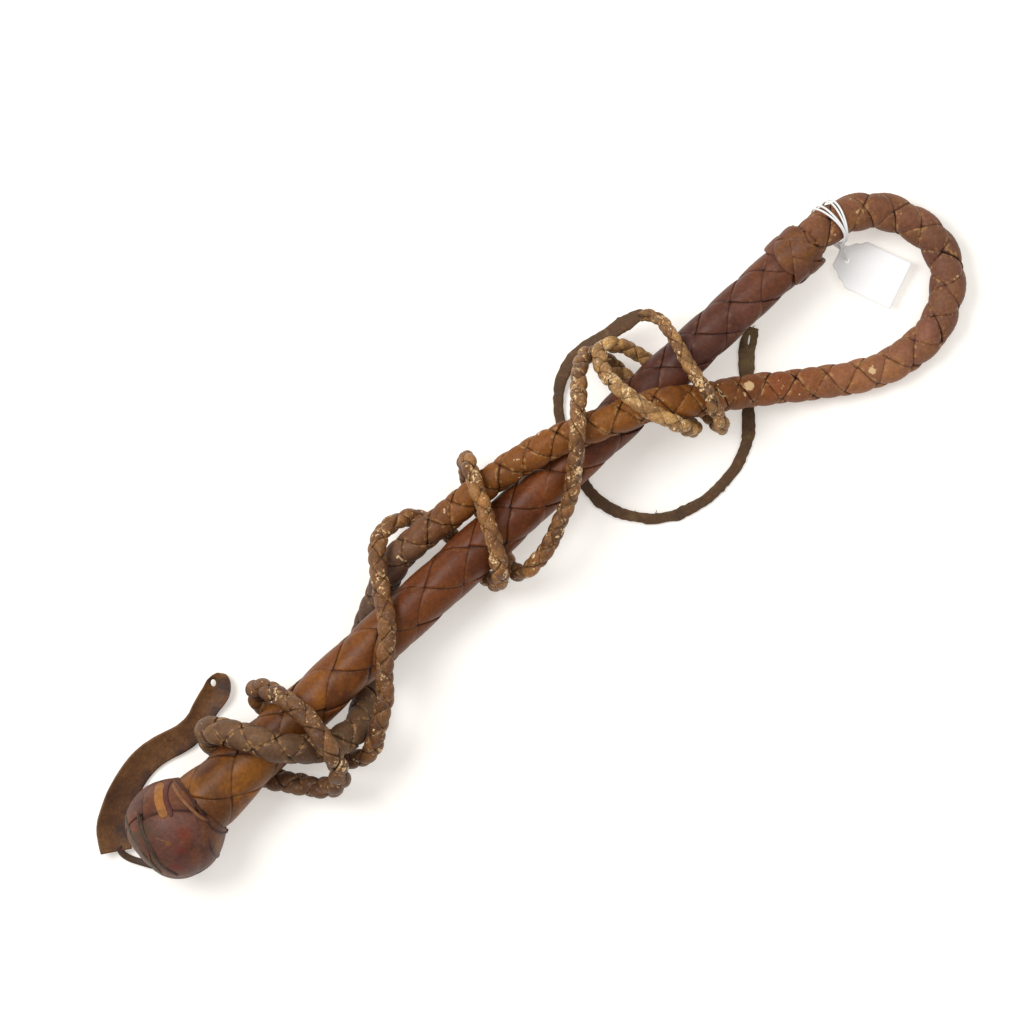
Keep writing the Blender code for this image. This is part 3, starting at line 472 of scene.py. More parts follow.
class Tree:
    """A short way to write a node tree."""

    def __init__(self, name):
        self.material = bpy.data.materials.new(name)
        self.material.use_nodes = True
        self.nodes = self.material.node_tree.nodes
        self.links = self.material.node_tree.links

    def node(self, kind, wires=(), **settings):
        """A new shader node, with its settings and a value or a link for each input named in wires."""
        made = self.nodes.new("ShaderNode" + kind)
        for key, value in settings.items():
            setattr(made, key, value)
        for key, value in dict(wires).items():
            self.wire(value, made.inputs[key])
        return made

    def wire(self, value, socket):
        if isinstance(value, bpy.types.NodeSocket):
            self.links.new(value, socket)
        elif isinstance(value, tuple):
            socket.default_value = (*value, 1.0)[:4] if len(socket.default_value) == 4 else value
        else:
            socket.default_value = value

    def maths(self, operation, first, second=0.0, clamp=False):
        return self.node("Math", {0: first, 1: second}, operation=operation, use_clamp=clamp).outputs[0]

    def times(self, first, second):
        return self.maths("MULTIPLY", first, second)

    def plus(self, first, second, clamp=False):
        return self.maths("ADD", first, second, clamp)

    def ramp(self, value, low, high, to_low=0.0, to_high=1.0):
        wires = {"Value": value, "From Min": low, "From Max": high, "To Min": to_low, "To Max": to_high}
        return self.node("MapRange", wires, interpolation_type="SMOOTHSTEP").outputs[0]

    def colours(self, value, stops):
        made = self.node("ValToRGB", {0: value})
        elements = made.color_ramp.elements
        while len(elements) < len(stops):
            elements.new(0.5)
        for element, (place, colour) in zip(elements, stops):
            element.position = place
            element.color = (*colour, 1.0)
        return made.outputs[0]

    def mix(self, factor, first, second, blend="MIX"):
        wires = {0: factor, 6: first, 7: second}
        return self.node("Mix", wires, data_type="RGBA", blend_type=blend).outputs[2]

    def tinted(self, colour, tint):
        return self.mix(1.0, colour, tint, "MULTIPLY")

    def place(self):
        return self.node("TexCoord").outputs["Object"]

    def noise(self, scale, detail, rough, place, distortion=0.0):
        return self.node("TexNoise", {"Vector": place, "Scale": scale, "Detail": detail, "Roughness": rough,
                                      "Distortion": distortion}).outputs["Fac"]

    def cells(self, scale, place, feature="F1", output="Distance"):
        return self.node("TexVoronoi", {"Vector": place, "Scale": scale}, feature=feature).outputs[output]

    def bump(self, height, distance, strength=1.0, below=None):
        wires = {"Strength": strength, "Distance": distance * MM, "Height": height}
        if below is not None:
            wires["Normal"] = below
        return self.node("Bump", wires).outputs[0]

    def attribute(self, name):
        return self.node("Attribute", attribute_name=name)

    def parts(self, vector):
        return self.node("SeparateXYZ", {0: vector}).outputs

    def finish(self, **values):
        """Gives the shader its inputs, and returns the material."""
        for key, value in values.items():
            self.wire(value, self.nodes["Principled BSDF"].inputs[key.replace("_", " ")])
        return self.material


def stains_and_painted_shade(tree, colour, marks, place):
    """Lays ragged spots of another colour round chosen points: stains, and on the strap painted shade."""
    for (x, y, z, reach), mark_colour in marks:
        away = tree.node("VectorMath", {0: place, 1: (x * MM, y * MM, z * MM)}, operation="DISTANCE")
        crisp = mark_colour is CREAM
        rough_edge = tree.noise(420 if crisp else 150, 5, 0.65, place)
        edge = tree.plus(tree.maths("DIVIDE", away.outputs["Value"], reach * MM),
                         tree.times(tree.maths("SUBTRACT", rough_edge, 0.5), 2.4))
        fade = tree.ramp(edge, 0.9, 0.74, 0.0, 0.9) if crisp else tree.ramp(edge, 1.0, 0.0, 0.0, 0.75)
        colour = tree.mix(fade, colour, mark_colour)
    return colour


def plait_leather(name, gloss, nicks, dark, level, flakes_and_glints=0.0, specks=0.0, seam_at=0.93, marks=()):
    """Leather of a plait: its colour changes from scale to scale, painted shade in the seams, worn at the
    rims.
    """
    tree = Tree(name)
    mix, tinted, ramp, noise = tree.mix, tree.tinted, tree.ramp, tree.noise
    times, plus, maths = tree.times, tree.plus, tree.maths
    weave = tree.parts(tree.attribute("weave").outputs["Vector"])
    main = tree.attribute("main").outputs["Color"]
    patch = tree.attribute("patch").outputs["Color"]
    along = times(maths("ABSOLUTE", weave[0]), 2.0)
    across = maths("ABSOLUTE", weave[1])
    rim = maths("MAXIMUM", along, across)
    place = tree.place()

    cloud = noise(75, 4, 0.6, place, 0.4)
    fine = noise(520, 6, 0.65, place)
    colour = mix(ramp(cloud, 0.42, 0.62, 0.0, 0.85), main, patch)
    broad = noise(32, 3, 0.5, place, 0.6)
    darker = tinted(colour, (0.42, 0.36, 0.4))
    colour = mix(times(ramp(broad, 0.5, 0.68), dark), colour, darker)
    lighter = tinted(colour, (1.75, 1.7, 1.6))
    colour = mix(ramp(fine, 0.42, 0.75, 0.0, 0.45), colour, lighter)
    dull = tinted(colour, (0.5, 0.5, 0.5))
    colour = mix(ramp(fine, 0.52, 0.3, 0.0, 0.35), colour, dull)

    rim_noise = noise(330, 4, 0.65, place)
    rub = times(ramp(rim, 0.66, 0.88), ramp(rim_noise, 0.5, 0.62))
    colour = mix(times(rub, nicks), colour, (0.44, 0.235, 0.085))
    if specks:
        spot = ramp(noise(210, 3, 0.5, place), 0.715 - specks, 0.745 - specks)
        colour = mix(spot, colour, (0.62, 0.45, 0.25))
    shadow = times(ramp(along, 0.72, 1.0), 0.45)
    colour = mix(shadow, colour, darker)
    wander = times(maths("SUBTRACT", rim_noise, 0.5), 0.14)
    ragged = plus(rim, wander)
    colour = stains_and_painted_shade(tree, colour, marks, place)
    # Painted shade: dark lines where a scale tucks under its neighbour and along its long edges, standing for
    # the shade in the gaps between strands.
    tucked = ramp(plus(along, wander), seam_at, seam_at + 0.06)
    edge_line = ramp(plus(across, times(wander, 0.3)), 0.955, 0.995, 0.0, 0.75)
    seam = maths("MAXIMUM", tucked, edge_line)
    depth = times(ramp(noise(140, 2, 0.5, place), 0.35, 0.6, 0.5, 0.95), ramp(weave[2], 0.0, 0.45, 0.55, 1.0))
    colour = mix(times(seam, depth), colour, (0.02, 0.007, 0.005))

    rough = plus(gloss, times(fine, 0.25))
    rough = plus(rough, times(seam, 0.3), clamp=True)
    height = plus(noise(1500, 3, 0.6, place), times(tree.cells(950, place), 0.5))
    normal = tree.bump(height, 0.05)
    normal = tree.bump(noise(170, 4, 0.6, place), 0.7, 0.6, normal)
    if flakes_and_glints:
        # Pale flakes of a cracked crust; their cream, near white at its brightest, is partly painted glints
        # of light.
        region = noise(70, 2, 0.5, place)
        chip = tree.parts(tree.cells(620, place, output="Color"))[0]
        crust = plus(times(noise(330, 5, 0.68, place, 0.8), 0.72), times(chip, 0.28))
        crusted = ramp(tree.parts(patch)[0], 0.15, 0.32, -0.04, 0.025)
        region = plus(region, times(crusted, 2.0))
        both = plus(times(region, 0.45), times(crust, 0.55))
        face = ramp(both, 0.568 - flakes_and_glints * 0.05, 0.594 - flakes_and_glints * 0.05)
        face = times(face, ramp(ragged, 1.0, 0.86))
        crust_and_glint = tree.colours(noise(1100, 3, 0.6, place), [
            (0.35, (0.38, 0.19, 0.058)), (0.5, (0.7, 0.43, 0.175)), (0.62, (1.0, 0.82, 0.54))])
        colour = mix(times(face, 0.9), colour, crust_and_glint)
        cracks = ramp(tree.cells(420, place, "DISTANCE_TO_EDGE"), 0.0, 0.08)
        colour = mix(ramp(cracks, 1.0, 0.0, 0.0, 0.4), colour, (0.05, 0.022, 0.01))
        rough = plus(rough, times(face, 0.12), clamp=True)
        normal = tree.bump(plus(face, times(cracks, 0.5)), 0.3, 0.8, normal)
    return tree.finish(Base_Color=colour, Roughness=rough, Normal=normal, Specular_IOR_Level=level)


def strap_leather(name, stops, gloss, marks=()):
    """Dark flat leather with fine creases darkened by painted shade, scuffs and a paler cut edge."""
    tree = Tree(name)
    weave = tree.parts(tree.attribute("weave").outputs["Vector"])
    across = tree.maths("ABSOLUTE", weave[1])
    place = tree.place()
    cloud = tree.noise(60, 5, 0.62, place, 0.6)
    colour = tree.colours(cloud, stops)
    fine = tree.noise(620, 5, 0.7, place)
    scuffed = tree.tinted(colour, (2.0, 1.8, 1.6))
    colour = tree.mix(tree.ramp(fine, 0.45, 0.75, 0.0, 0.6), colour, scuffed)
    # The strap's marks are painted shade.
    colour = stains_and_painted_shade(tree, colour, marks, place)
    edge = tree.times(tree.ramp(across, 0.78, 1.0), tree.ramp(tree.noise(300, 4, 0.55, place), 0.42, 0.62))
    colour = tree.mix(tree.times(edge, 0.7), colour, (0.16, 0.095, 0.045))
    crease = tree.ramp(tree.cells(230, place, "DISTANCE_TO_EDGE"), 0.0, 0.05)
    # Painted shade: darker in the creases.
    colour = tree.mix(tree.ramp(crease, 1.0, 0.0, 0.0, 0.3), colour, (0.02, 0.01, 0.006))
    rough = tree.plus(gloss, tree.times(fine, 0.25), clamp=True)
    normal = tree.bump(tree.noise(1300, 4, 0.65, place), 0.07)
    normal = tree.bump(crease, 0.1, 0.6, normal)
    normal = tree.bump(tree.noise(110, 4, 0.55, place), 0.7, 0.6, normal)
    return tree.finish(Base_Color=colour, Roughness=rough, Normal=normal, Specular_IOR_Level=0.35)


def plain_material(name, dark, light, scale, roughness, bump=0.08, stretch=(1, 1, 1)):
    """A grained material between two colours, for paper, cotton, wood and undyed leather."""
    tree = Tree(name)
    stretched = tree.node("Mapping", {"Vector": tree.place(), "Scale": stretch}).outputs[0]
    grain = tree.noise(scale, 6, 0.6, stretched)
    colour = tree.colours(grain, [(0.3, dark), (0.7, light)])
    rough = tree.plus(roughness, tree.times(grain, 0.15), clamp=True)
    normal = tree.bump(grain, bump)
    return tree.finish(Base_Color=colour, Roughness=rough, Normal=normal, Specular_IOR_Level=0.3)


handle_leather = plait_leather("handle_leather", 0.3, nicks=0.12, dark=0.6, level=0.22)
knob_leather = plait_leather("knob_leather", 0.36, nicks=0.12, dark=0.6, level=0.22, seam_at=0.955,
                             marks=KNOB_MARKS)
thong_leather = plait_leather("thong_leather", 0.42, nicks=0.7, dark=0.4, level=0.22, specks=0.012,
                              marks=THONG_MARKS)
thin_leather = plait_leather("thin_thong_leather", 0.34, nicks=0.7, dark=0.45, level=0.35, flakes_and_glints=0.05,
                             specks=0.01)
dark_strap = strap_leather("strap_leather", [
    (0.3, (0.066, 0.027, 0.011)), (0.5, (0.12, 0.05, 0.017)), (0.7, (0.175, 0.082, 0.028))], 0.5, STRAP_PAINTED_SHADE)
lace_leather = strap_leather("lace_leather", [
    (0.3, (0.03, 0.014, 0.012)), (0.5, (0.055, 0.026, 0.018)), (0.7, (0.085, 0.05, 0.024))], 0.4)
fall_leather = strap_leather("fall_leather", [
    (0.3, (0.045, 0.024, 0.011)), (0.45, (0.085, 0.046, 0.02)), (0.58, (0.095, 0.043, 0.017)),
    (0.72, (0.145, 0.096, 0.036))], 0.55, FALL_MARKS)
raw_leather = plain_material("raw_leather", (0.035, 0.018, 0.01), (0.075, 0.044, 0.025), 180, 0.7)
turned_wood = plain_material("turned_wood", (0.28, 0.17, 0.08), (0.5, 0.34, 0.19), 60, 0.5, 0.08, (1, 6, 6))
cane = plain_material("cane", (0.42, 0.3, 0.15), (0.62, 0.48, 0.28), 90, 0.45, 0.08, (1, 12, 12))
paper = plain_material("ticket_paper", (0.93, 0.93, 0.93), (0.98, 0.98, 0.97), 1200, 0.8, 0.02)
cotton = plain_material("cotton_string", (0.74, 0.74, 0.73), (0.93, 0.93, 0.92), 2600, 0.85, 0.15, (1, 1, 3))


# Handle, knob and ring ------------------------------------------------------------------

def handle_pitch(rope):
    keys, lengths = zip(*CROSSING_LENGTH)
    return 3 * np.interp(rope.centre[:, 0], keys, lengths)


def handle_plait():
    rope = Rope([(x, 0, 0, radius) for x, radius in HANDLE_PROFILE], handle_pitch)
    rope.phase = np.radians(np.interp(rope.along, [0, 37, 200, 430], [-29, -29, -17, -30]))
    corner = np.interp(36.8, rope.along, rope.turn)
    rope.turn = rope.turn - corner
    style = PlaitStyle(3, 1.6, 0, HANDLE_PALETTE, dome=0.1, edge_dip=0.3, end_dip=0.62, tilt=0.5,
                       stations=18, across=15)
    number = 1
    for direction in (1, -1):
        for index in range(3):
            part = strand_mesh(rope, style, direction, index, rope.turn[0] + 0.55, rope.turn[-1] - 0.55)
            strand = mesh_object(f"handle_plait_strand_{number}", *part, handle_leather)
            attach(strand, "handle", "handle_leather", f"handle_strand_{number}")
            number += 1


class Knob(Rope):
    """The knob's outline as a rope whose centre line is the handle's axis."""

    def __init__(self):
        rows = catmull_rows([(x, 0, 0, radius) for x, radius in KNOB_OUTLINE], 0.6)
        self.centre = rows[:, :3] * (1, 0, 0)
        self.radius = rows[:, 3]
        steps = np.hypot(np.diff(rows[:, 0]), np.diff(self.radius))
        self.along = np.concatenate([[0], np.cumsum(steps)])
        self.tangent = np.tile([1.0, 0, 0], (len(rows), 1))
        self.side = np.tile([0.0, 0, 1.0], (len(rows), 1))
        self.up = np.tile([0.0, -1.0, 0], (len(rows), 1))
        rate = 1 / np.maximum(self.radius, 9)
        self.turn = np.concatenate([[0], np.cumsum((rate[1:] + rate[:-1]) / 2 * steps)])
        self.phase = np.full(len(rows), 0.72) - 0.012 * self.along


def knob():
    outline = Knob()
    style = PlaitStyle(3, 1.1, 0, KNOB_PALETTE, dome=0.05, edge_dip=0.35, end_dip=0.5, tilt=0.2,
                       stations=26, across=21)
    parts = [strand_mesh(outline, style, direction, index, -0.3, outline.turn[-1] + 0.3)
             for direction in (1, -1) for index in range(3)]
    ball = mesh_object("knob_plait", *join_parts(parts), knob_leather)
    attach(ball, "handle", "knob_leather", "knob_cover")
    for name, route, width, thickness, tint in KNOB_STRIPS:
        rows = []
        for x, angle in catmull_rows([(x, angle, 0, 0) for x, angle in route], 2.0)[:, :2]:
            before, radius, after = np.interp([x - 1, x, x + 1], KNOB_XS, KNOB_RADII)
            around = np.array([0, -math.sin(math.radians(angle)), math.cos(math.radians(angle))])
            outward = around - np.array([(after - before) / 2, 0, 0])
            rows.append((np.array([x, 0, 0]) + around * (radius - STRIP_SINK), outward))
        taper = np.interp(np.linspace(0, 1, len(rows)), [0, 0.08, 0.92, 1], [0.55, 1, 1, 0.5])
        shade = tuple(c * 0.7 for c in tint)
        piece = band(name, rows, width * taper, thickness, knob_leather, False, 16, (tint, shade))
        attach(piece, "handle", "knob_leather")


def knob_button():
    """The small domed button that closes the end of the knob, pleated round its rim."""
    around, pleats, pleat_depth = 36, 6, 0.05
    points, faces = [(BUTTON_PROFILE[0][0], 0, 0)], []
    for x, radius in BUTTON_PROFILE:
        for k in range(around):
            angle = k * math.tau / around
            reach = radius * (1 + pleat_depth * math.cos(pleats * angle))
            points.append((x, reach * math.cos(angle), reach * math.sin(angle)))
    points.append((BUTTON_PROFILE[-1][0], 0, 0))
    last = len(points) - 1
    for k in range(around):
        n = (k + 1) % around
        faces.append((0, 1 + n, 1 + k))
        faces.append((last, last - around + k, last - around + n))
        for i in range(len(BUTTON_PROFILE) - 1):
            a, b = 1 + i * around, 1 + (i + 1) * around
            faces.append((a + k, a + n, b + n, b + k))
    flat = np.zeros((len(points), 3))
    main, patch = flat + (0.085, 0.034, 0.022), flat + (0.12, 0.05, 0.02)
    attach(mesh_object("knob_end_button", points, faces, flat, main, patch, knob_leather),
           "handle", "knob_leather")


def band(name, rows, width, thickness, material, closed=True, sides=12, colours=BAND_COLOURS):
    """A flat rounded strand through rows of (point, outward direction)."""
    centre = np.array([p for p, _ in rows], float)
    outward = unit(np.array([n for _, n in rows], float))
    ahead = np.gradient(centre, axis=0)
    if closed:
        ahead = np.roll(centre, -1, axis=0) - np.roll(centre, 1, axis=0)
    across = unit(np.cross(unit(ahead), outward))
    angle = np.arange(sides) * math.tau / sides
    bulge = np.abs(np.cos(angle)) ** 0.75 * np.sign(np.cos(angle))
    count = len(rows)
    widths = np.broadcast_to(np.asarray(width, float), (count,))[:, None, None]
    points = (centre[:, None] + across[:, None] * (bulge[None, :, None] * widths / 2)
              + outward[:, None] * (np.sin(angle) * thickness / 2)[None, :, None])
    weave = np.zeros((count, sides, 3))
    weave[..., 0] = 0.12
    # Near 1 at the sides, so that the leather's painted seam shade darkens the band's edges.
    weave[..., 1] = bulge[None, :] * 0.985
    main, patch = (np.tile(colour, (count * sides, 1)) for colour in colours)
    faces = sleeve(count, sides, (0, 3, 2, 1), closed)
    return mesh_object(name, points, faces, weave, main, patch, material)


def ring_knot():
    """One strand woven round and round over the joint of handle and thong."""
    rows = []
    count = 420
    for k in range(count):
        angle = RING_TURNS * math.tau * k / count
        sway = RING_BIGHTS * angle / RING_TURNS
        outward = np.array([0, math.cos(angle), math.sin(angle)])
        radius = RING_RADIUS + RING_RISE * math.sin(2 * sway)
        rows.append((np.array([RING_X + RING_SWAY * math.sin(sway), 0, 0]) + outward * radius, outward))
    knot = band("ring_knot_strand", rows, 9.0, 1.6, handle_leather, sides=16,
                colours=((0.125, 0.046, 0.024), (0.165, 0.064, 0.018)))
    attach(knot, "handle", "handle_leather", "ring_knot")


# Thong ----------------------------------------------------------------------------------


def thong_pitch(rope):
    return 6.4 + 1.18 * rope.radius


def thong_plait():
    rope = Rope([row for _, _, lay in SPANS for row in lay], thong_pitch)
    rope.face_seam(SEAM_FACES, 2)
    thick = PlaitStyle(2, 0.5, 0.18, THONG_PALETTE, dome=0.22, edge_dip=0.3, end_dip=0.72, tilt=0.55,
                       stations=14, across=11)
    thin = PlaitStyle(2, 0.4, 0.36, THONG_PALETTE, dome=0.55, edge_dip=0.3, end_dip=0.72, tilt=0.6,
                      stations=12, across=11, contrast=0.6)
    begin = 0.0
    for number, (name, nodes, lay) in enumerate(SPANS):
        end = rope.turn[-1] - 0.8
        if number + 1 < len(SPANS):
            near = np.linalg.norm(rope.centre - np.array(lay[-1][:3]), axis=1)
            end = rope.turn[int(near.argmin())]
        sturdy = number < THICK_SPANS
        parts = [strand_mesh(rope, thick if sturdy else thin, direction, index, begin, end)
                 for direction in (1, -1) for index in range(2)]
        piece = mesh_object(name, *join_parts(parts), thong_leather if sturdy else thin_leather)
        if nodes:
            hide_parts(*nodes)
        if name == "thong_loop":
            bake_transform(piece)
        else:
            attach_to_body(piece, "handle")
        begin = end


# Fall, strap and lace -------------------------------------------------------------------

def strip(name, lay, thickness, material, ragged, seed, columns=8):
    """A flat leather strip with a rounded section, ragged edges and, where its rows say so, a curl across."""
    rows = catmull_rows(lay, 1.0)
    draw = np.random.default_rng(seed)
    count = len(rows)
    centre = rows[:, :3]
    tangent = unit(np.gradient(centre, axis=0))
    level = unit(np.stack([-tangent[:, 1], tangent[:, 0], tangent[:, 0] * 0], axis=-1))
    lift = np.cross(tangent, level)
    roll = np.radians(rows[:, 4])[:, None]
    across = level * np.cos(roll) + lift * np.sin(roll)
    normal = -level * np.sin(roll) + lift * np.cos(roll)

    def noise(scale):
        knots = np.arange(0, count + scale, scale)
        return np.interp(np.arange(count), knots, draw.normal(size=len(knots)))

    left, right = (1 + ragged * (0.35 * noise(2) + 0.5 * noise(7)) / rows[:, 3] * 2 for _ in range(2))
    v_top = np.linspace(-1, 1, columns + 1)
    v = np.concatenate([v_top, v_top[::-1]])
    side = np.repeat([1.0, -1.0], columns + 1)
    reach = np.where(v[None, :] < 0, left[:, None], right[:, None]) * rows[:, 3:4] / 2
    curl = rows[:, 5:6] if rows.shape[1] > 5 else 0.0
    bend = curl * (v[None, :] ** 2 - 0.3)
    wave = 0.12 * noise(5)[:, None]
    half = thickness / 2 * (1 - 0.45 * np.abs(v) ** 6)[None, :] * side[None, :]
    points = (centre[:, None] + across[:, None] * (reach * v[None, :])[..., None]
              + normal[:, None] * (half + bend + wave)[..., None])
    weave = np.zeros((count, len(v), 3))
    weave[..., 0] = 0.2
    weave[..., 1] = v
    return mesh_object(name, points, sleeve(count, len(v), (0, 3, 2, 1)), weave, material=material)


def bore(target, spot, size, turn=0.0):
    """Cuts an upright oval hole through a flat piece."""
    bpy.ops.mesh.primitive_cylinder_add(vertices=24, radius=MM, depth=0.02)
    cutter = bpy.context.object
    cutter.location = Vector(spot) * MM
    cutter.scale = (*size, 1)
    cutter.rotation_euler = (0, 0, math.radians(turn))
    cut = target.modifiers.new("bore", "BOOLEAN")
    cut.operation = "DIFFERENCE"
    cut.solver = "EXACT"
    cut.object = cutter
    bpy.context.view_layer.update()
    shaped = bpy.data.meshes.new_from_object(target.evaluated_get(bpy.context.evaluated_depsgraph_get()))
    target.modifiers.clear()
    target.data = shaped
    bpy.data.objects.remove(cutter)


def fall():
    first = strip("fall_first_length", FALL_FIRST_LAY, 1.5, fall_leather, 0.5, FIRST_FALL_SEED)
    last = strip("fall_last_length", FALL_LAST_LAY, 1.5, fall_leather, 0.55, LAST_FALL_SEED)
    bore(last, *FALL_SLIT)
    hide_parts("fall_root", "fall_middle")
    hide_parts("fall_end")
    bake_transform(first)
    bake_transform(last)


def frayed_fibres(name, tufts, body, material):
    """Short torn fibres standing off the leather, three to a tuft."""
    draw = np.random.default_rng(FRAY_SEED)
    parts = []
    for root, heading, length in tufts:
        for _ in range(3):
            lean = unit(np.array(heading, float) + draw.normal(0, 0.35, 3))
            droop = draw.normal(0, 0.25, 3)
            far = length * draw.uniform(0.6, 1.1)
            start = np.array(root, float) + draw.normal(0, 0.4, 3) - lean * 0.6
            line = [start + lean * far * t + droop * far * t * t for t in np.linspace(0, 1, 7)]
            thread = tube("thread", line, 0.16, material, sides=5)
            parts.append((np.array([v.co for v in thread.data.vertices]) / MM,
                          [tuple(f.vertices) for f in thread.data.polygons]))
            bpy.data.objects.remove(thread)
    attach(mesh_object(name, *join_parts(parts), material=material), body, "strap_leather")


def frays():
    for name, body, tufts in FRAYS:
        frayed_fibres(name, tufts, body, cane if body == "handle" else fall_leather)


def wrist_strap():
    strap = strip("wrist_strap_leather", STRAP_LAY, 2.0, dark_strap, 0.12, STRAP_SEED, columns=18)
    bore(strap, *STRAP_EYE)
    attach(strap, "strap", "strap_leather", "wrist_strap")
    rows = [(row[:3], (0.15, -0.2, 1)) for row in catmull_rows(LACE_LAY, 0.8)]
    lace = band("wrist_lace_leather", rows, 3.7, 1.9, lace_leather, closed=False, sides=14)
    attach(lace, "lace", "strap_leather", "wrist_lace")


# Ticket ---------------------------------------------------------------------------------

def tube(name, points, radius, material, sides=8):
    """A round cord through the points, its section carried along without twist."""
    centre = np.asarray(points, float)
    tangent = unit(np.gradient(centre, axis=0))
    rows = []
    current = np.array([0.3, 0.2, 1.0])
    for p, t in zip(centre, tangent):
        current = current - t * (current @ t)
        current = current / np.linalg.norm(current)
        rows.append((p, current.copy()))
    return band(name, rows, radius * 2, radius * 2, material, False, sides)


def ticket():
    """White string wound round the thong, tied through the hole of a blank card."""
    heading = unit(np.array([0.93, -0.155, -0.335]))
    side = unit(np.cross(heading, [0, 0, 1]))
    up = np.cross(side, heading)
    hub = np.array([485.5, -1.0, -3.9])
    first_angle, sweep, steps = -14, 318, 48
    strings = []
    for turn, (creep, size) in enumerate(STRING_TURNS):
        rows = []
        for k in range(steps + 1):
            angle = math.radians(first_angle + sweep * k / steps)
            drift = creep * (0.62 - 0.42 * math.cos(angle)) + 0.5 * math.sin(2 * angle + turn)
            rows.append(hub + heading * drift + size * (side * math.cos(angle) + up * math.sin(angle)))
        knot = TICKET_KNOT + np.array([0.35 * turn - 0.5, 0.2 * turn, 0.4 * (turn % 2)])
        lead = sagging(knot, rows[0], (0.3, -0.3, 0.6), np.linspace(0, 1, 9)[:-1])
        tail = sagging(rows[-1], knot, (0, -0.6, -1.2), np.linspace(0, 1, 13)[1:])
        strings.append(tube(f"ticket_string_turn_{turn + 1}", lead + rows + tail, 0.55, cotton))
    tie = []
    for k in range(40):
        angle = k / 39 * 2.6 * math.tau
        tie.append(TICKET_KNOT + (1.15 * math.cos(angle), 0.9 * math.sin(angle), 0.9 - 1.5 * k / 39))
    tie += [point - (0, 0, 0.8 * t) for t in np.linspace(0.1, 1, 9)
            for point in sagging(TICKET_KNOT, TICKET_HOLE, (0, 0, 1.6), [t])]
    strings.append(tube("ticket_string_knot", tie, 0.5, cotton))
    for piece in strings:
        attach(piece, "ticket_string", "cotton_string")
    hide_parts("ticket_string")


def sagging(start, end, bow, places):
    """Points from start to end, pushed out by bow in the middle."""
    return [start + (end - start) * t + np.array(bow) * math.sin(math.pi * t) for t in places]


def card():
    """The ticket's card, narrowed and wavy at the string end, with a punched hole and a lifted far end."""
    half_width, neck, flare = 13.5, 4.6, 8.9
    near_end, far_end, clip = 6.3, -30.8, 11.8
    columns, half_thickness = 24, 0.2
    turn = math.radians(21.5)
    levels = [near_end - 0.2, near_end - 0.9, near_end - 1.8, *np.linspace(near_end - 3, near_end - clip, 9),
              *np.linspace(near_end - clip - 1.5, far_end, 29)]
    points = []
    for face_side in (half_thickness, -half_thickness):
        for y in levels:
            into = near_end - y
            reach = half_width
            if into < clip:
                reach = neck + flare * (into / clip) ** 0.85 + 0.45 * math.sin(into * 1.25)
            for x in np.linspace(-reach, reach, columns + 1):
                lift = 2.6 * (into / 37) ** 2 + 0.35 * math.sin(x * 0.2) - 0.01 * x
                points.append((TICKET_HOLE[0] + x * math.cos(turn) - y * math.sin(turn),
                               TICKET_HOLE[1] + x * math.sin(turn) + y * math.cos(turn),
                               TICKET_HOLE[2] + (face_side + lift)))
    stride = columns + 1
    last = len(levels) - 1
    sheet = len(levels) * stride
    faces = []
    for i in range(last):
        for j in range(columns):
            a = i * stride + j
            faces.append((a, a + stride, a + stride + 1, a + 1))
            faces.append((sheet + a, sheet + a + 1, sheet + a + stride + 1, sheet + a + stride))
    rim = list(range(stride)) + [i * stride + columns for i in range(1, last + 1)]
    rim += [last * stride + j for j in reversed(range(columns))]
    rim += [i * stride for i in reversed(range(1, last))]
    for a, b in zip(rim, rim[1:] + rim[:1]):
        faces.append((a, b, sheet + b, sheet + a))
    made = mesh_object("ticket_card_paper", points, faces, material=paper)
    bore(made, TICKET_HOLE, (1.25, 1.25))
    attach(made, "ticket_card", "ticket_card", "ticket_card")


# Stage ----------------------------------------------------------------------------------

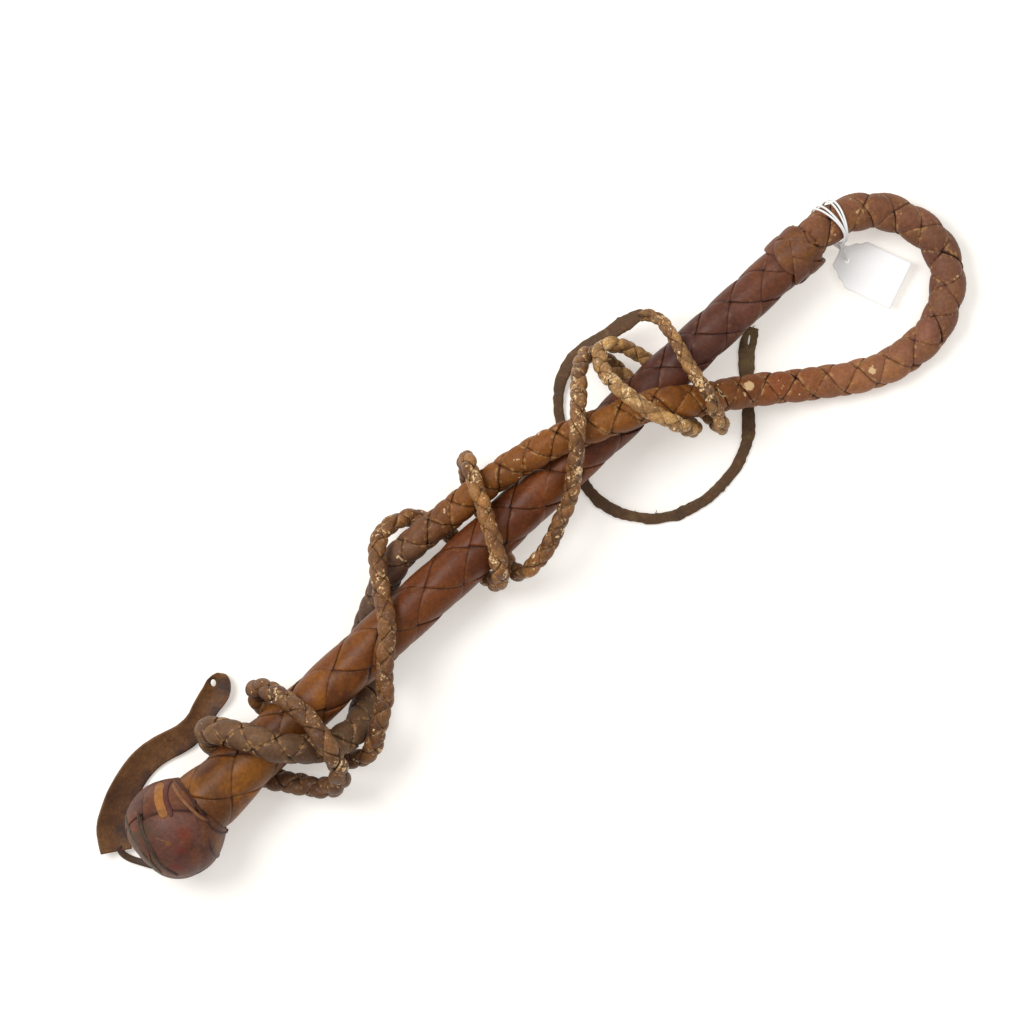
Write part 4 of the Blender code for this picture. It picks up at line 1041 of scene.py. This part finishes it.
def hidden_parts():
    """Materials for the CAD nodes that stay as they are, inside the plaits."""
    looks = {"handle_rod": cane, "handle_belly": raw_leather, "knob_plug": turned_wood,
             "thong_upper_belly": raw_leather, "thong_turn_belly": raw_leather}
    for name, look in looks.items():
        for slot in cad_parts[name].material_slots:
            slot.material = look


def stage():
    """A plain pale floor, an even white world and two soft lights."""
    bpy.ops.mesh.primitive_plane_add(size=6, location=(MIDDLE[0], MIDDLE[1], TABLE_Z - FLOOR_DROP))
    floor = bpy.context.object
    floor.name = "floor"
    tree = Tree("floor_paper")
    floor.data.materials.append(tree.finish(
        Base_Color=(0.8, 0.785, 0.75), Roughness=0.9, Emission_Color=(1.0, 0.96, 0.9),
        Emission_Strength=0.36, Specular_IOR_Level=0.1))

    world = bpy.data.worlds.new("studio")
    bpy.context.scene.world = world
    world.use_nodes = True
    colour, strength = world.node_tree.nodes["Background"].inputs[:2]
    colour.default_value = (1.0, 0.99, 0.975, 1)
    strength.default_value = 0.5

    soft_light("key", (-0.1, 0.75, 1.3), 0.8, 16)
    soft_light("fill", (1.0, 0.1, 1.2), 1.0, 5)


def soft_light(name, place, size, power):
    data = bpy.data.lights.new(name, "AREA")
    data.shape = "DISK"
    data.size = size
    data.energy = power
    light = bpy.data.objects.new(name, data)
    bpy.context.scene.collection.objects.link(light)
    light.location = place
    light.rotation_euler = (Vector(MIDDLE) - Vector(place)).to_track_quat("-Z", "Y").to_euler()


def camera():
    """Looks straight down, turned so that the handle rises to the upper right."""
    width_seen, height, sensor = 0.5306, 2.2, 36
    handle_rise = math.radians(42.8)
    data = bpy.data.cameras.new("camera")
    data.sensor_width = sensor
    data.lens = sensor * height / width_seen
    data.clip_end = 20
    made = bpy.data.objects.new("camera", data)
    bpy.context.scene.collection.objects.link(made)
    made.location = (0.262, 0.0019, height)
    made.rotation_euler = (0, 0, -handle_rise)
    bpy.context.scene.camera = made


hidden_parts()
handle_plait()
knob()
knob_button()
ring_knot()
thong_plait()
fall()
wrist_strap()
frays()
ticket()
card()
stage()
camera()
bpy.context.scene.view_settings.view_transform = "Standard"
